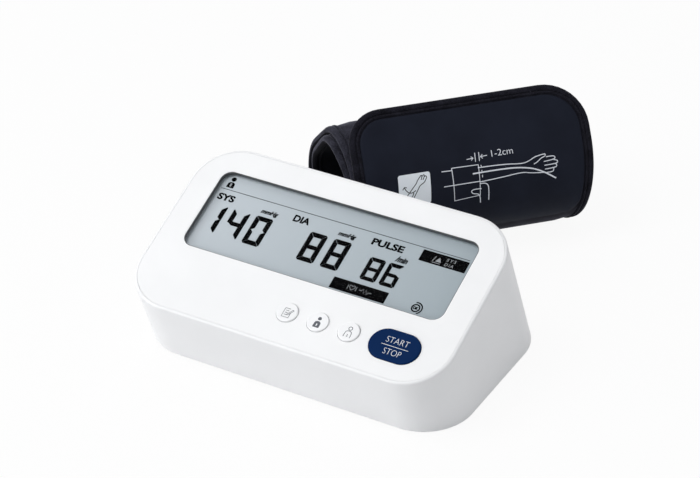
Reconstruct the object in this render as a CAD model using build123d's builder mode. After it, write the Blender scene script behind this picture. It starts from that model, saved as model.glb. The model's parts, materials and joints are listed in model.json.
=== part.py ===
from build123d import *
from math import cos, pi, radians, sin, tan
import os

# Table-top blood pressure monitor with its upper-arm cuff standing rolled up behind it.
# Millimetres and degrees. X runs along the monitor's width, Y to its back, Z up from the table.
# The origin is on the table, under the middle of the whole set.

# ---------------- monitor case
case_width = 191.0          # across the sloping top face
top_length = 110.0          # top face from its front edge to its back edge, along the slope
top_corner = 26.7           # corner radius of the top face
top_tilt = 22.5             # slope of the top face
top_height = 61.3           # middle of the top face above the table
wall_lean = 20.6            # the walls run down and back by this much
wall_draft = 1.2            # and spread by this much
wall_overrun = 1.2          # they are drawn longer than they need by this factor, then cut off at the foot
case_wall = 2.8
rim_width = 1.6             # part of the wall's top that shows round the front panel
edge_round = 1.3            # outer edge of the rim
hem_round = 0.8             # outer edge of the wall's foot
panel_thickness = 2.2
panel_gap = 0.12            # seam between the rim and the front panel
foot_proud = 0.8            # the rubber feet hold the case this far above the table

# ---------------- display
window_side_margin = 16.5   # from the window to the sides of the top face,
window_back_margin = 16.1   # to its back edge
window_front_margin = 41.5  # and to its front edge
window_corner = 6.5
lens_margin = 2.6           # how far the lens reaches past the window all round
lens_thickness = 1.2
lcd_margin = 1.2            # how far the glass reaches past the window all round
lcd_thickness = 2.2
lcd_gap = 0.2               # air between the lens and the glass
lcd_fit = 0.2               # play of the glass in its holder
holder_wall = 2.0
holder_lip = 3.0            # the holder reaches under the glass by this much
holder_depth = 5.2          # from the lens down to the board
strip_width = 2.4           # elastomer strip that joins the glass to the board
strip_side = 12.0           # the strip stops this far short of the window's sides
strip_lift = 5.0            # and lies this far up from the window's lower edge

# ---------------- keys
key_row_inset = 20.5        # middle of the row of keys from the front edge of the top face
round_key_diameter = 12.0
round_key_first = 0.0       # X of the first round key
round_key_pitch = 18.4
start_key_gap = 6.5         # from the last round key to the start key
start_key_width = 28.6
start_key_length = 18.5
key_proud = 0.9
key_edge = 0.7
key_clearance = 0.25        # running gap between a key and its hole
key_lip = 1.2               # width and thickness of the lip that keeps a key in
key_lip_gap = 0.3
key_travel = 0.6
stem_diameter = 4.0
stem_spare = 0.25           # air that is left under a stem when its key is down
dome_height = 1.1
dome_diameter = 6.0
dome_taper = 20.0
mat_thickness = 0.9
mat_margin = 3.0

# ---------------- circuit board
board_side_gap = 9.5        # from the board's edge to the case's side
board_end_gap = 8.0         # and to the front and back of the top face
board_up = 1.0
board_corner = 19.0
board_thickness = 1.6
post_diameter = 5.0
post_column = 60.0          # X of the upper posts
post_inset = 12.5           # middle of a lower post from the case's side
post_up_inset = 9.4         # the upper posts from the back of the top face
post_low_inset = 33.0       # the lower posts from its front
chip_size = 12.0
chip_height = 1.8
chip_x = 10.0
small_chip_spacing = 16.0
small_chip_size = 5.0
small_chip_count = 4
small_chip_height = 0.9
small_chip_up = 6.0
buzzer_diameter = 12.0
buzzer_height = 4.5
buzzer_edge = 0.6
buzzer_x = 52.0
sensor_size = 9.0
sensor_height = 5.0
screw_play = 0.05           # between a screw and the hole that it bites in
board_screw_diameter = 2.2
board_screw_head = 4.2
board_screw_head_height = 1.4
board_screw_length = 6.0

# ---------------- base
base_thickness = 3.0
base_fit = 0.15             # the base lies in the wall's foot with this gap
foot_diameter = 10.0
foot_recess = 1.0
foot_edge = 0.3
foot_side_inset = 21.5      # middle of a rubber foot from the case's side
foot_end_inset = 15.7       # and from the front and back of its foot
boss_diameter = 7.6         # screw posts, each tied to the side wall by a rib
boss_height = 18.0
boss_inset = 9.5            # middle of a post from the case's side,
boss_end_inset = 31.7       # and from the front and back of the case's foot
rib_thickness = 2.0
case_screw_diameter = 3.0
case_screw_head = 5.6
case_screw_head_height = 2.0
case_screw_length = 12.0
case_screw_hole = 3.4
case_screw_slot = (2.8, 0.7, 1.0)     # length, width and depth of each arm of the cross

# ---------------- batteries, four cells side by side
cell_diameter = 14.2
cell_length = 49.2
cell_nub_diameter = 5.4
cell_nub_length = 1.2
cell_pitch = 15.0
cell_count = 4
cell_play = 0.3             # air round a cell
bay_spring = 4.0            # room for the leaf springs at one end
bay_wall = 1.8
bay_front = 0.0             # Y of the bay's front wall
contact_thickness = 0.4
contact_width = 9.0
contact_cone_diameter = 6.0
contact_cone_taper = 25.0
cover_thickness = 1.6
cover_fit = 0.2             # gap round the cover in its recess
cover_ledge = 2.4           # width of the ledge that the cover shuts against
cover_travel = 10.0
tongue_length = 8.0
tongue_width = 1.4
tongue_height = 0.6
tongue_lift = 0.6           # a tongue's underside above the cover's
tongue_count = 3
tongue_pitch = 20.0
groove_play = 0.15
grip_count = 5              # grip ribs on the cover
grip_pitch = 3.0
grip_rib = 1.5
grip_width = 30.0
grip_height = 0.4
lead_diameter = 1.6
lead_pitch = 4.0
lead_bend = 8.0

# ---------------- air system
motor_diameter = 24.0
motor_length = 30.0
motor_edge = 1.5
motor_boss_diameter = 9.6
motor_boss_length = 2.0
head_diameter = 26.0        # across the flats of the pump's square head
head_length = 24.0
head_corner = 3.2
pump_inset = 33.5           # middle of the pump from the case's side
pump_front = 8.0
cushion_wall = 2.2
cushion_length = 20.0
nipple_diameter = 3.2
nipple_bore = 1.6
nipple_length = 6.0
hose_diameter = 5.4
hose_height = 26.0          # the two long hoses run at this height
valve_size = 16.0
valve_edge = 1.6
valve_coil_diameter = 10.6
valve_coil_length = 12.0
valve_gap = 4.2             # from the wall of the battery bay to the valve
valve_y = 22.0
manifold_height = 11.0
manifold_depth = 12.0
hose_rise = 10.0            # the sensor's hose turns this far above the manifold
hose_bend = 20.0
jack_bore = 4.2
jack_bore_depth = 12.0
jack_diameter = 9.0
jack_flange = 12.0
jack_flange_thickness = 1.6
jack_length = 16.0
jack_recess = 0.3           # its face stands inside the widest part of the case by this much
port_gap = 0.1              # between a jack and its hole in the wall
dc_width = 9.0
dc_height = 11.0
dc_length = 14.0
dc_corner = 1.1
dc_bore = 5.6
dc_bore_depth = 9.5
dc_pin = 2.0
dc_inset = 33.5             # middle of the jack from the case's side
dc_recess = 2.2             # its face stands inside the back wall by this much

# ---------------- cuff, a wrap rolled into a loose ring
cuff_turn = 45.0            # the roll's axis, from X towards Y
cuff_x = -45.2              # left end of the roll where it stands, from the middle of the top face
cuff_gap = 20.6             # and behind the foot of the case
cuff_width = 140.0
cuff_shift = 5.0            # past the front, the wrap stands out at the left end by this much
roll_radius = 40.0          # front of the roll
roll_back_radius = 30.0
roll_flat = 16.0            # flat stretch on the table
roll_back_slope = 44.0      # slope of the upper back
roll_top_radius = 31.0
roll_tail_turn = 60.0       # the inner end lies this far down the front
flap_lean = 38.5            # the flap leans back from upright by this much
flap_length = 34.5
flap_corner_left = 20.0
flap_corner_right = 26.0
turn_gap = 0.4              # air between two turns of the wrap
cover_cloth = 1.3
curler_sheet = 0.9
bladder_bag = 1.5
lining_cloth = 1.1
cloth_gap = 0.05            # between two layers
binding_width = 6.0
hinge_gap = 0.3
hook_pad_thickness = 0.8
hook_pad_edge = 3.0         # from the binding to the hook pad
tag_width = 18.6
tag_length = 18.0
tag_thickness = 0.3
tag_along = 24.2            # left edge of the tag, from the roll's left end
tag_top_angle = 32.0        # its upper edge, above the roll's middle height
gland_diameter = 15.0
gland_thickness = 3.0
gland_edge = 1.0
gland_along = 46.0
barb_diameter = 5.0
barb_length = 12.0
barb_bore = 2.6

# ---------------- places worked out from the sizes
back_edge = top_length / 2 * cos(radians(top_tilt))
edge_rise = top_length / 2 * sin(radians(top_tilt))
base_front = (top_height - edge_rise) * tan(radians(wall_lean)) - back_edge
base_back = (top_height + edge_rise) * tan(radians(wall_lean)) + back_edge
cuff_y = base_back + cuff_gap
roll_reach = cuff_width - cuff_shift + roll_flat + roll_back_radius
cuff_back = cuff_y + roll_reach * sin(radians(cuff_turn))
monitor_y = (back_edge - cuff_back) / 2             # puts the origin under the middle of the set

top = Plane(
    origin=(0, monitor_y, top_height),
    x_dir=(1, 0, 0),
    z_dir=(0, -sin(radians(top_tilt)), cos(radians(top_tilt))),
)
wall_way = Vector(0, sin(radians(wall_lean)), -cos(radians(wall_lean)))
wall_run = wall_overrun * (top_height + edge_rise) / cos(radians(wall_lean))
base_under = Plane.XY.offset(foot_proud)
base_over = foot_proud + base_thickness

lcd_depth = panel_thickness + lens_thickness + lcd_gap      # depths run down from the top face
board_depth = panel_thickness + lens_thickness + holder_depth
board_under = board_depth + board_thickness
mat_depth = board_depth - mat_thickness
stem_depth = mat_depth - dome_height - stem_spare - key_travel
lip_depth = panel_thickness + key_lip_gap
window_width = case_width - 2 * window_side_margin
window_length = top_length - window_back_margin - window_front_margin
window_up = (window_front_margin - window_back_margin) / 2
key_row_y = key_row_inset - top_length / 2
round_key_x = [round_key_first + i * round_key_pitch for i in range(3)]
start_key_x = round_key_x[-1] + round_key_diameter / 2 + start_key_gap + start_key_width / 2
board_width = case_width - 2 * board_side_gap
board_length = top_length - 2 * board_end_gap
post_places = [
    (side * x, y)
    for side in (-1, 1)
    for x, y in (
        (post_column, top_length / 2 - post_up_inset),
        (case_width / 2 - post_inset, post_low_inset - top_length / 2),
    )
]

bay_width = cell_count * cell_pitch
bay_length = cell_length + cell_nub_length + 2 * cell_play + bay_spring
cell_height = foot_proud + cover_thickness + cell_play + cell_diameter / 2
bay_ceiling = cell_height + cell_diameter / 2 + cell_play
cover_width = bay_width + 2 * cover_ledge
cover_length = bay_length + 2 * cover_ledge
tongue_front = bay_front + (bay_length - (tongue_count - 1) * tongue_pitch - tongue_length) / 2
pump_x = case_width / 2 - pump_inset
pump_height = base_over + cushion_wall + head_diameter / 2
pump_back = pump_front + head_length
hose_bore = nipple_diameter / 2 + screw_play
manifold_foot = hose_height - manifold_height / 2
valve_x = -(bay_width / 2 + bay_wall + valve_gap + valve_size / 2)
dc_x = dc_inset - case_width / 2
dc_lean = (top_height + edge_rise - base_over - dc_height) * tan(radians(wall_lean))
dc_face = back_edge + dc_lean - dc_recess
jack_face = -case_width / 2 + jack_recess
jack_inner = jack_face + jack_length

wrap_thickness = cover_cloth + curler_sheet + bladder_bag + lining_cloth + 3 * cloth_gap
turn_step = wrap_thickness + turn_gap
curler_depth = cover_cloth + cloth_gap
bladder_depth = curler_depth + curler_sheet + cloth_gap
lining_depth = wrap_thickness - lining_cloth


def on_top(depth):
    """Plane parallel to the top face, this far under it."""
    return top.offset(-depth)


def at(x, y, z):
    """Point measured from the table under the middle of the top face."""
    return Vector(x, monitor_y + y, z)


def save(piece, name):
    piece.part.label = name
    export_step(piece.part, f"parts/{name}.step")


os.makedirs("parts", exist_ok=True)

# ---------------- upper case: four walls with a ledge for the panel
boss_x = case_width / 2 - boss_inset
boss_places = [
    at(side * boss_x, y, base_over)
    for side in (-1, 1)
    for y in (base_front + boss_end_inset, base_back - boss_end_inset)
]
foot_align = (Align.CENTER, Align.CENTER, Align.MIN)
jack_plane = Plane(origin=at(jack_face, valve_y, hose_height), x_dir=(0, 1, 0), z_dir=(1, 0, 0))
dc_plane = Plane(origin=at(dc_x, dc_face, base_over + dc_height / 2), x_dir=(1, 0, 0), z_dir=(0, 1, 0))


def case_outline(inset):
    """Outline of the top face, drawn in by inset."""
    RectangleRounded(case_width - 2 * inset, top_length - 2 * inset, top_corner - inset)


with BuildPart() as upper_case:
    with BuildSketch(top):
        case_outline(0)
    extrude(amount=wall_run, dir=wall_way, taper=-wall_draft)
    split(bisect_by=base_under, keep=Keep.TOP)
    fillet(upper_case.faces().sort_by(Axis(top.origin, top.z_dir))[-1].edges(), edge_round)
    fillet(upper_case.faces().sort_by(Axis.Z)[0].edges(), hem_round)
    with BuildSketch(top):
        case_outline(rim_width)
    extrude(amount=-panel_thickness, mode=Mode.SUBTRACT)
    with BuildSketch(top):
        case_outline(case_wall)
    extrude(amount=wall_run, dir=wall_way, taper=-wall_draft, mode=Mode.SUBTRACT)
    for place in boss_places:
        side = 1 if place.X > 0 else -1
        with Locations(place):
            Cylinder(boss_diameter / 2, boss_height, align=foot_align)
        with Locations(place + Vector(side * boss_inset / 2, 0, 0)):
            Box(boss_inset, rib_thickness, boss_height, align=foot_align)
        with Locations(place):
            Cylinder(
                case_screw_diameter / 2 + screw_play, case_screw_length, align=foot_align, mode=Mode.SUBTRACT
            )
    with BuildSketch(jack_plane):
        Circle(jack_diameter / 2 + port_gap)
    extrude(amount=case_wall, both=True, mode=Mode.SUBTRACT)
    with BuildSketch(dc_plane):
        RectangleRounded(dc_width + 2 * port_gap, dc_height + 2 * port_gap, dc_corner + port_gap)
    extrude(amount=top_length / 2, mode=Mode.SUBTRACT)
save(upper_case, "upper_case")

# ---------------- front panel: window, key holes and posts for the board
with BuildPart() as front_panel:
    with BuildSketch(top):
        case_outline(rim_width + panel_gap)
        with Locations((0, window_up)):
            RectangleRounded(window_width, window_length, window_corner, mode=Mode.SUBTRACT)
        with Locations(*[(x, key_row_y) for x in round_key_x]):
            Circle(round_key_diameter / 2 + key_clearance, mode=Mode.SUBTRACT)
        with Locations((start_key_x, key_row_y)):
            SlotOverall(
                start_key_width + 2 * key_clearance, start_key_length + 2 * key_clearance, mode=Mode.SUBTRACT
            )
    extrude(amount=-panel_thickness)
    with BuildSketch(on_top(panel_thickness)):
        with Locations(*post_places):
            Circle(post_diameter / 2)
    extrude(amount=panel_thickness - board_depth)
    with BuildSketch(on_top(board_depth)):
        with Locations(*post_places):
            Circle(board_screw_diameter / 2 + screw_play)
    extrude(amount=board_screw_length - board_thickness, mode=Mode.SUBTRACT)
save(front_panel, "front_panel")

# ---------------- display: lens, glass, holder and elastomer strip
with BuildPart() as display_lens:
    with BuildSketch(on_top(panel_thickness)):
        with Locations((0, window_up)):
            RectangleRounded(
                window_width + 2 * lens_margin, window_length + 2 * lens_margin, window_corner + lens_margin
            )
    extrude(amount=-lens_thickness)
save(display_lens, "display_lens")

with BuildPart() as lcd_glass:
    with BuildSketch(on_top(lcd_depth)):
        with Locations((0, window_up)):
            Rectangle(window_width + 2 * lcd_margin, window_length + 2 * lcd_margin)
    extrude(amount=-lcd_thickness)
save(lcd_glass, "lcd_glass")

pocket_margin = lcd_margin + lcd_fit
with BuildPart() as lcd_holder:
    for margin, depth, end, mode in (
        (pocket_margin + holder_wall, panel_thickness + lens_thickness, board_depth, Mode.ADD),
        (pocket_margin, panel_thickness + lens_thickness, lcd_depth + lcd_thickness, Mode.SUBTRACT),
        (pocket_margin - holder_lip, panel_thickness + lens_thickness, board_depth, Mode.SUBTRACT),
    ):
        with BuildSketch(on_top(depth)):
            with Locations((0, window_up)):
                Rectangle(window_width + 2 * margin, window_length + 2 * margin)
        extrude(amount=depth - end, mode=mode)
save(lcd_holder, "lcd_holder")

with BuildPart() as elastomer_strip:
    with BuildSketch(on_top(lcd_depth + lcd_thickness)):
        with Locations((0, window_up - window_length / 2 + strip_lift)):
            Rectangle(window_width - 2 * strip_side, strip_width)
    extrude(amount=lcd_depth + lcd_thickness - board_depth)
save(elastomer_strip, "elastomer_strip")

# ---------------- circuit board and what it carries
with BuildPart() as main_board:
    with BuildSketch(on_top(board_depth)):
        with Locations((0, board_up)):
            RectangleRounded(board_width, board_length, board_corner)
        with Locations(*post_places):
            Circle(board_screw_diameter / 2 + port_gap, mode=Mode.SUBTRACT)
    extrude(amount=-board_thickness)
save(main_board, "main_board")

with BuildPart() as board_components:
    with BuildSketch(on_top(board_under)):
        with Locations((chip_x, key_row_y)):
            Rectangle(chip_size, chip_size)
    extrude(amount=-chip_height)
    with BuildSketch(on_top(board_under)):
        with Locations((chip_x, small_chip_up)):
            with GridLocations(small_chip_spacing, small_chip_spacing, small_chip_count, 1):
                Rectangle(small_chip_size, small_chip_size)
    extrude(amount=-small_chip_height)
save(board_components, "board_components")

with BuildPart() as buzzer:
    with BuildSketch(on_top(board_under)):
        with Locations((buzzer_x, key_row_y)):
            Circle(buzzer_diameter / 2)
    extrude(amount=-buzzer_height)
    fillet(buzzer.edges().group_by(Axis(top.origin, top.z_dir))[0], buzzer_edge)
save(buzzer, "buzzer")

mat_left = round_key_first - round_key_diameter / 2 - mat_margin
mat_right = start_key_x + start_key_width / 2
with BuildPart() as key_mat:
    with BuildSketch(on_top(mat_depth)):
        with Locations(((mat_left + mat_right) / 2, key_row_y)):
            RectangleRounded(mat_right - mat_left, start_key_length, mat_margin)
    extrude(amount=-mat_thickness)
    with BuildSketch(on_top(mat_depth)):
        with Locations(*[(x, key_row_y) for x in (*round_key_x, start_key_x)]):
            Circle(dome_diameter / 2)
    extrude(amount=dome_height, taper=dome_taper)
save(key_mat, "key_mat")

# ---------------- keys: cap, retaining lip and stem
def key_outline(x, grow):
    """A key's outline, stadium for the start key and round for the others."""
    with Locations((x, key_row_y)):
        if x == start_key_x:
            SlotOverall(start_key_width + 2 * grow, start_key_length + 2 * grow)
        else:
            Circle(round_key_diameter / 2 + grow)


for name, x in zip(
    ("memory_key", "user_one_key", "user_two_key", "start_stop_key"), (*round_key_x, start_key_x)
):
    with BuildPart() as key:
        with BuildSketch(top.offset(key_proud)):
            key_outline(x, 0)
        extrude(amount=-key_proud - lip_depth)
        fillet(key.faces().sort_by(Axis(top.origin, top.z_dir))[-1].edges(), key_edge)
        with BuildSketch(on_top(lip_depth)):
            key_outline(x, key_clearance + key_lip)
        extrude(amount=-key_lip)
        with BuildSketch(on_top(lip_depth + key_lip)):
            with Locations((x, key_row_y)):
                Circle(stem_diameter / 2)
        extrude(amount=lip_depth + key_lip - stem_depth)
    save(key, name)

# ---------------- lower case: floor, battery bay, recess for its cover
foot_x = case_width / 2 - foot_side_inset
foot_places = [
    at(side * foot_x, y, 0)
    for side in (-1, 1)
    for y in (base_front + foot_end_inset, base_back - foot_end_inset)
]
bay_middle = bay_front + bay_length / 2
recess_length = cover_length + cover_travel + 2 * cover_fit
with BuildPart() as lower_case:
    with BuildSketch(top):
        case_outline(case_wall + base_fit)
    extrude(amount=wall_run, dir=wall_way, taper=-wall_draft)
    split(bisect_by=base_under, keep=Keep.TOP)
    split(bisect_by=Plane.XY.offset(base_over), keep=Keep.BOTTOM)
    with Locations(at(0, bay_middle, foot_proud + cover_thickness)):
        Box(
            bay_width + 2 * bay_wall,
            bay_length + 2 * bay_wall,
            bay_ceiling + bay_wall - foot_proud - cover_thickness,
            align=foot_align,
        )
    with Locations(at(0, bay_middle, 0)):
        Box(bay_width, bay_length, bay_ceiling, align=foot_align, mode=Mode.SUBTRACT)
    with Locations(at(0, bay_front - cover_ledge - cover_fit + recess_length / 2, 0)):
        Box(
            cover_width + 2 * cover_fit,
            recess_length,
            foot_proud + cover_thickness + groove_play,
            align=foot_align,
            mode=Mode.SUBTRACT,
        )
    groove_width = cover_width + 2 * (tongue_width + cover_fit)
    groove_foot = foot_proud + tongue_lift - groove_play
    for i in range(tongue_count):
        start = tongue_front + i * tongue_pitch - groove_play
        for length, foot, y in (
            (tongue_length + cover_travel + 2 * groove_play, groove_foot, start),
            (tongue_length + 2 * groove_play, 0, start + cover_travel),
        ):
            ceiling = groove_foot + tongue_height + 2 * groove_play
            with Locations(at(0, y + length / 2, foot)):
                Box(groove_width, length, ceiling - foot, align=foot_align, mode=Mode.SUBTRACT)
    with Locations(*boss_places):
        Cylinder(case_screw_hole / 2, 2 * base_thickness, mode=Mode.SUBTRACT)
    with Locations(*[Vector(p.X, p.Y, 0) for p in boss_places]):
        Cylinder(
            case_screw_head / 2 + cover_fit,
            foot_proud + case_screw_head_height + cover_fit,
            align=foot_align,
            mode=Mode.SUBTRACT,
        )
    with Locations(*foot_places):
        Cylinder(foot_diameter / 2 + port_gap, foot_proud + foot_recess, align=foot_align, mode=Mode.SUBTRACT)
save(lower_case, "lower_case")

with BuildPart() as rubber_feet:
    with Locations(*foot_places):
        Cylinder(foot_diameter / 2, foot_proud + foot_recess, align=foot_align)
    chamfer(rubber_feet.faces().group_by(Axis.Z)[0].edges(), foot_edge)
save(rubber_feet, "rubber_feet")

with BuildPart() as case_screws:
    screw_foot = foot_proud + cover_fit
    with Locations(*[Vector(p.X, p.Y, screw_foot) for p in boss_places]):
        Cylinder(case_screw_head / 2, case_screw_head_height, align=foot_align)
        Cylinder(
            case_screw_diameter / 2,
            case_screw_head_height + case_screw_length - 2 * cover_fit,
            align=foot_align,
        )
        for angle in (0, 90):
            Box(*case_screw_slot, rotation=(0, 0, angle), align=foot_align, mode=Mode.SUBTRACT)
save(case_screws, "case_screws")

with BuildPart() as board_screws:
    with BuildSketch(on_top(board_under)):
        with Locations(*post_places):
            Circle(board_screw_head / 2)
    extrude(amount=-board_screw_head_height)
    with BuildSketch(on_top(board_under)):
        with Locations(*post_places):
            Circle(board_screw_diameter / 2)
    extrude(amount=board_screw_length - 2 * screw_play)
save(board_screws, "board_screws")

# ---------------- battery cover, with tongues that run in grooves
with BuildPart() as battery_cover:
    with Locations(at(0, bay_middle, foot_proud)):
        Box(cover_width, cover_length, cover_thickness, align=foot_align)
    fillet(battery_cover.edges().filter_by(Axis.Z), cover_fit)
    for i in range(tongue_count):
        with Locations(at(0, tongue_front + i * tongue_pitch + tongue_length / 2, foot_proud + tongue_lift)):
            Box(cover_width + 2 * tongue_width, tongue_length, tongue_height, align=foot_align)
    for i in range(grip_count):
        with Locations(at(0, bay_front + (i + 1) * grip_pitch, foot_proud - grip_height)):
            Box(grip_width, grip_rib, grip_height, align=foot_align)
save(battery_cover, "battery_cover")

# ---------------- cells and their contacts, every second one turned round
def cell_plane(i):
    """Plane on the end wall that a cell's flat end faces, looking along the cell."""
    turned = i % 2
    y = bay_front + turned * bay_length
    x = (i - (cell_count - 1) / 2) * cell_pitch
    way = -1 if turned else 1
    return Plane(origin=at(x, y, cell_height), x_dir=(way, 0, 0), z_dir=(0, way, 0))


with BuildPart() as battery_cells:
    for i in range(cell_count):
        with BuildSketch(cell_plane(i).offset(bay_spring)):
            Circle(cell_diameter / 2)
        extrude(amount=cell_length)
        with BuildSketch(cell_plane(i).offset(bay_spring + cell_length)):
            Circle(cell_nub_diameter / 2)
        extrude(amount=cell_nub_length)
save(battery_cells, "battery_cells")

with BuildPart() as battery_contacts:
    for i in range(cell_count):
        with BuildSketch(cell_plane(i)):
            Rectangle(contact_width, contact_width)
        extrude(amount=contact_thickness)
        with BuildSketch(cell_plane(i).offset(bay_length)):
            Rectangle(contact_width, contact_width)
        extrude(amount=-contact_thickness)
        with BuildSketch(cell_plane(i)):
            Circle(contact_cone_diameter / 2)
        extrude(amount=bay_spring - contact_thickness, taper=contact_cone_taper)
save(battery_contacts, "battery_contacts")

# ---------------- pump on its rubber saddle
pump_axis = Plane(origin=at(pump_x, pump_front, pump_height), x_dir=(1, 0, 0), z_dir=(0, -1, 0))
with BuildPart() as pump_head:
    with BuildSketch(pump_axis):
        RectangleRounded(head_diameter, head_diameter, head_corner)
    extrude(amount=-head_length)
    nipple_plane = Plane(
        origin=at(pump_x - head_diameter / 2, valve_y, hose_height), x_dir=(0, 1, 0), z_dir=(-1, 0, 0)
    )
    with BuildSketch(nipple_plane):
        Circle(nipple_diameter / 2)
    extrude(amount=nipple_length)
    with BuildSketch(nipple_plane.offset(nipple_length)):
        Circle(nipple_bore / 2)
    extrude(amount=-2 * nipple_length, mode=Mode.SUBTRACT)
save(pump_head, "pump_head")

with BuildPart() as pump_motor:
    with BuildSketch(pump_axis.offset(-head_length)):
        Circle(motor_diameter / 2)
    extrude(amount=-motor_length)
    fillet(pump_motor.edges().sort_by(Axis.Y)[-1], motor_edge)
    with BuildSketch(pump_axis.offset(-head_length - motor_length)):
        Circle(motor_boss_diameter / 2)
    extrude(amount=-motor_boss_length)
save(pump_motor, "pump_motor")

with BuildPart() as pump_saddle:
    with Locations(at(pump_x, pump_back + motor_length / 2, base_over)):
        Box(motor_diameter + 2 * cushion_wall, cushion_length, pump_height - base_over, align=foot_align)
    with BuildSketch(pump_axis):
        Circle(motor_diameter / 2 + screw_play)
    extrude(amount=-top_length, mode=Mode.SUBTRACT)
save(pump_saddle, "pump_saddle")

# ---------------- release valve, manifold, pressure sensor and hoses
with BuildPart() as release_valve:
    with Locations(at(valve_x, valve_y, base_over)):
        Box(valve_size, valve_size, manifold_foot - base_over, align=foot_align)
    fillet(release_valve.edges().filter_by(Axis.Z), valve_edge)
    with BuildSketch(Plane(origin=at(valve_x, valve_y, base_over + valve_size / 2), z_dir=(0, -1, 0))):
        Circle(valve_coil_diameter / 2)
    extrude(amount=valve_coil_length)
save(release_valve, "release_valve")

manifold_top = at(valve_x, valve_y, manifold_foot + manifold_height)
ports = [
    Plane(origin=at(valve_x + valve_size / 2, valve_y, hose_height), x_dir=(0, 1, 0), z_dir=(1, 0, 0)),
    Plane(origin=at(valve_x - valve_size / 2, valve_y, hose_height), x_dir=(0, 1, 0), z_dir=(-1, 0, 0)),
    Plane(origin=manifold_top, x_dir=(1, 0, 0), z_dir=(0, 0, 1)),
]
with BuildPart() as air_manifold:
    with Locations(at(valve_x, valve_y, manifold_foot)):
        Box(valve_size, manifold_depth, manifold_height, align=foot_align)
    for port in ports:
        with BuildSketch(port):
            Circle(nipple_diameter / 2)
        extrude(amount=nipple_length)
    for port in ports:
        with BuildSketch(port.offset(nipple_length)):
            Circle(nipple_bore / 2)
        extrude(amount=-nipple_length - valve_size / 2, mode=Mode.SUBTRACT)
save(air_manifold, "air_manifold")


def riser(foot, turn_height, end_depth):
    """Path straight up from foot, then square to the board until end_depth under the top face."""
    corner = Vector(foot.X, foot.Y, foot.Z + turn_height)
    depth = -top.to_local_coords(corner).Z
    return [foot, corner, corner + top.z_dir * (depth - end_depth)]


sensor_riser = riser(manifold_top, hose_rise, board_under)
sensor_place = top.to_local_coords(sensor_riser[2])
with BuildPart() as pressure_sensor:
    with BuildSketch(on_top(board_under)):
        with Locations((sensor_place.X, sensor_place.Y)):
            Rectangle(sensor_size, sensor_size)
    extrude(amount=-sensor_height)
    with BuildSketch(on_top(board_under + sensor_height)):
        with Locations((sensor_place.X, sensor_place.Y)):
            Circle(nipple_diameter / 2)
    extrude(amount=-nipple_length)
save(pressure_sensor, "pressure_sensor")

with BuildPart() as air_hoses:
    for start, end in (
        (pump_x - head_diameter / 2, valve_x + valve_size / 2),
        (valve_x - valve_size / 2, jack_inner),
    ):
        hose_end = at(start - cover_fit, valve_y, hose_height)
        with BuildSketch(Plane(origin=hose_end, x_dir=(0, 1, 0), z_dir=(-1, 0, 0))):
            Circle(hose_diameter / 2)
            Circle(hose_bore, mode=Mode.SUBTRACT)
        extrude(amount=start - end - 2 * cover_fit)
    with BuildLine() as riser_path:
        foot, corner, end = riser(manifold_top, hose_rise, board_under + sensor_height + cover_fit)
        FilletPolyline(foot + Vector(0, 0, cover_fit), corner, end, radius=hose_bend)
    with BuildSketch(Plane(origin=riser_path.line @ 0, z_dir=riser_path.line % 0)):
        Circle(hose_diameter / 2)
        Circle(hose_bore, mode=Mode.SUBTRACT)
    sweep()
save(air_hoses, "air_hoses")

with BuildPart() as battery_leads:
    for side in (-1, 1):
        with BuildLine() as lead_path:
            foot, corner, end = riser(
                at(side * lead_pitch / 2, bay_middle, bay_ceiling + bay_wall), lead_bend, board_under
            )
            FilletPolyline(foot, corner, end, radius=lead_bend)
        with BuildSketch(Plane(origin=lead_path.line @ 0, z_dir=lead_path.line % 0)):
            Circle(lead_diameter / 2)
        sweep()
save(battery_leads, "battery_leads")

# ---------------- jacks
with BuildPart() as air_jack:
    with BuildSketch(jack_plane):
        Circle(jack_diameter / 2)
    extrude(amount=jack_length)
    with BuildSketch(jack_plane.offset(case_wall - jack_flange_thickness / 2)):
        Circle(jack_flange / 2)
    extrude(amount=jack_flange_thickness)
    with BuildSketch(jack_plane.offset(jack_length)):
        Circle(nipple_diameter / 2)
    extrude(amount=nipple_length)
    with BuildSketch(jack_plane):
        Circle(jack_bore / 2)
    extrude(amount=jack_bore_depth, mode=Mode.SUBTRACT)
    with BuildSketch(jack_plane):
        Circle(nipple_bore / 2)
    extrude(amount=jack_length + nipple_length, mode=Mode.SUBTRACT)
save(air_jack, "air_jack")

with BuildPart() as dc_jack:
    with BuildSketch(dc_plane):
        RectangleRounded(dc_width, dc_height, dc_corner)
    extrude(amount=-dc_length)
    with BuildSketch(dc_plane):
        Circle(dc_bore / 2)
        Circle(dc_pin / 2, mode=Mode.SUBTRACT)
    extrude(amount=-dc_bore_depth, mode=Mode.SUBTRACT)
save(dc_jack, "dc_jack")

# ---------------- cuff: the rolled wrap
# The roll's section is drawn looking along its axis, x towards the monitor and y up.
# Its outer face runs down from the hinge, along the table, up the back, over the top and round again inside.
roll_axis = Vector(cos(radians(cuff_turn)), sin(radians(cuff_turn)), 0)
roll_front = Vector(sin(radians(cuff_turn)), -cos(radians(cuff_turn)), 0)
roll_end = Plane(origin=at(cuff_x, cuff_y, 0), x_dir=roll_front, z_dir=-roll_axis)
flap_normal = Vector(cos(radians(flap_lean)), sin(radians(flap_lean)))
flap_way = Vector(-sin(radians(flap_lean)), cos(radians(flap_lean)))
front_middle = Vector(0, roll_radius)
hinge_point = front_middle + flap_normal * roll_radius
back_way = Vector(cos(radians(roll_back_slope)), sin(radians(roll_back_slope)))
back_normal = Vector(-back_way.Y, back_way.X)
back_foot = Vector(-roll_flat, roll_back_radius) + back_normal * roll_back_radius
top_turn = roll_back_slope + 90 - flap_lean
top_tangent = roll_top_radius * tan(radians(top_turn / 2))
inner_start = front_middle + flap_normal * (roll_radius - turn_step)
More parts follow.
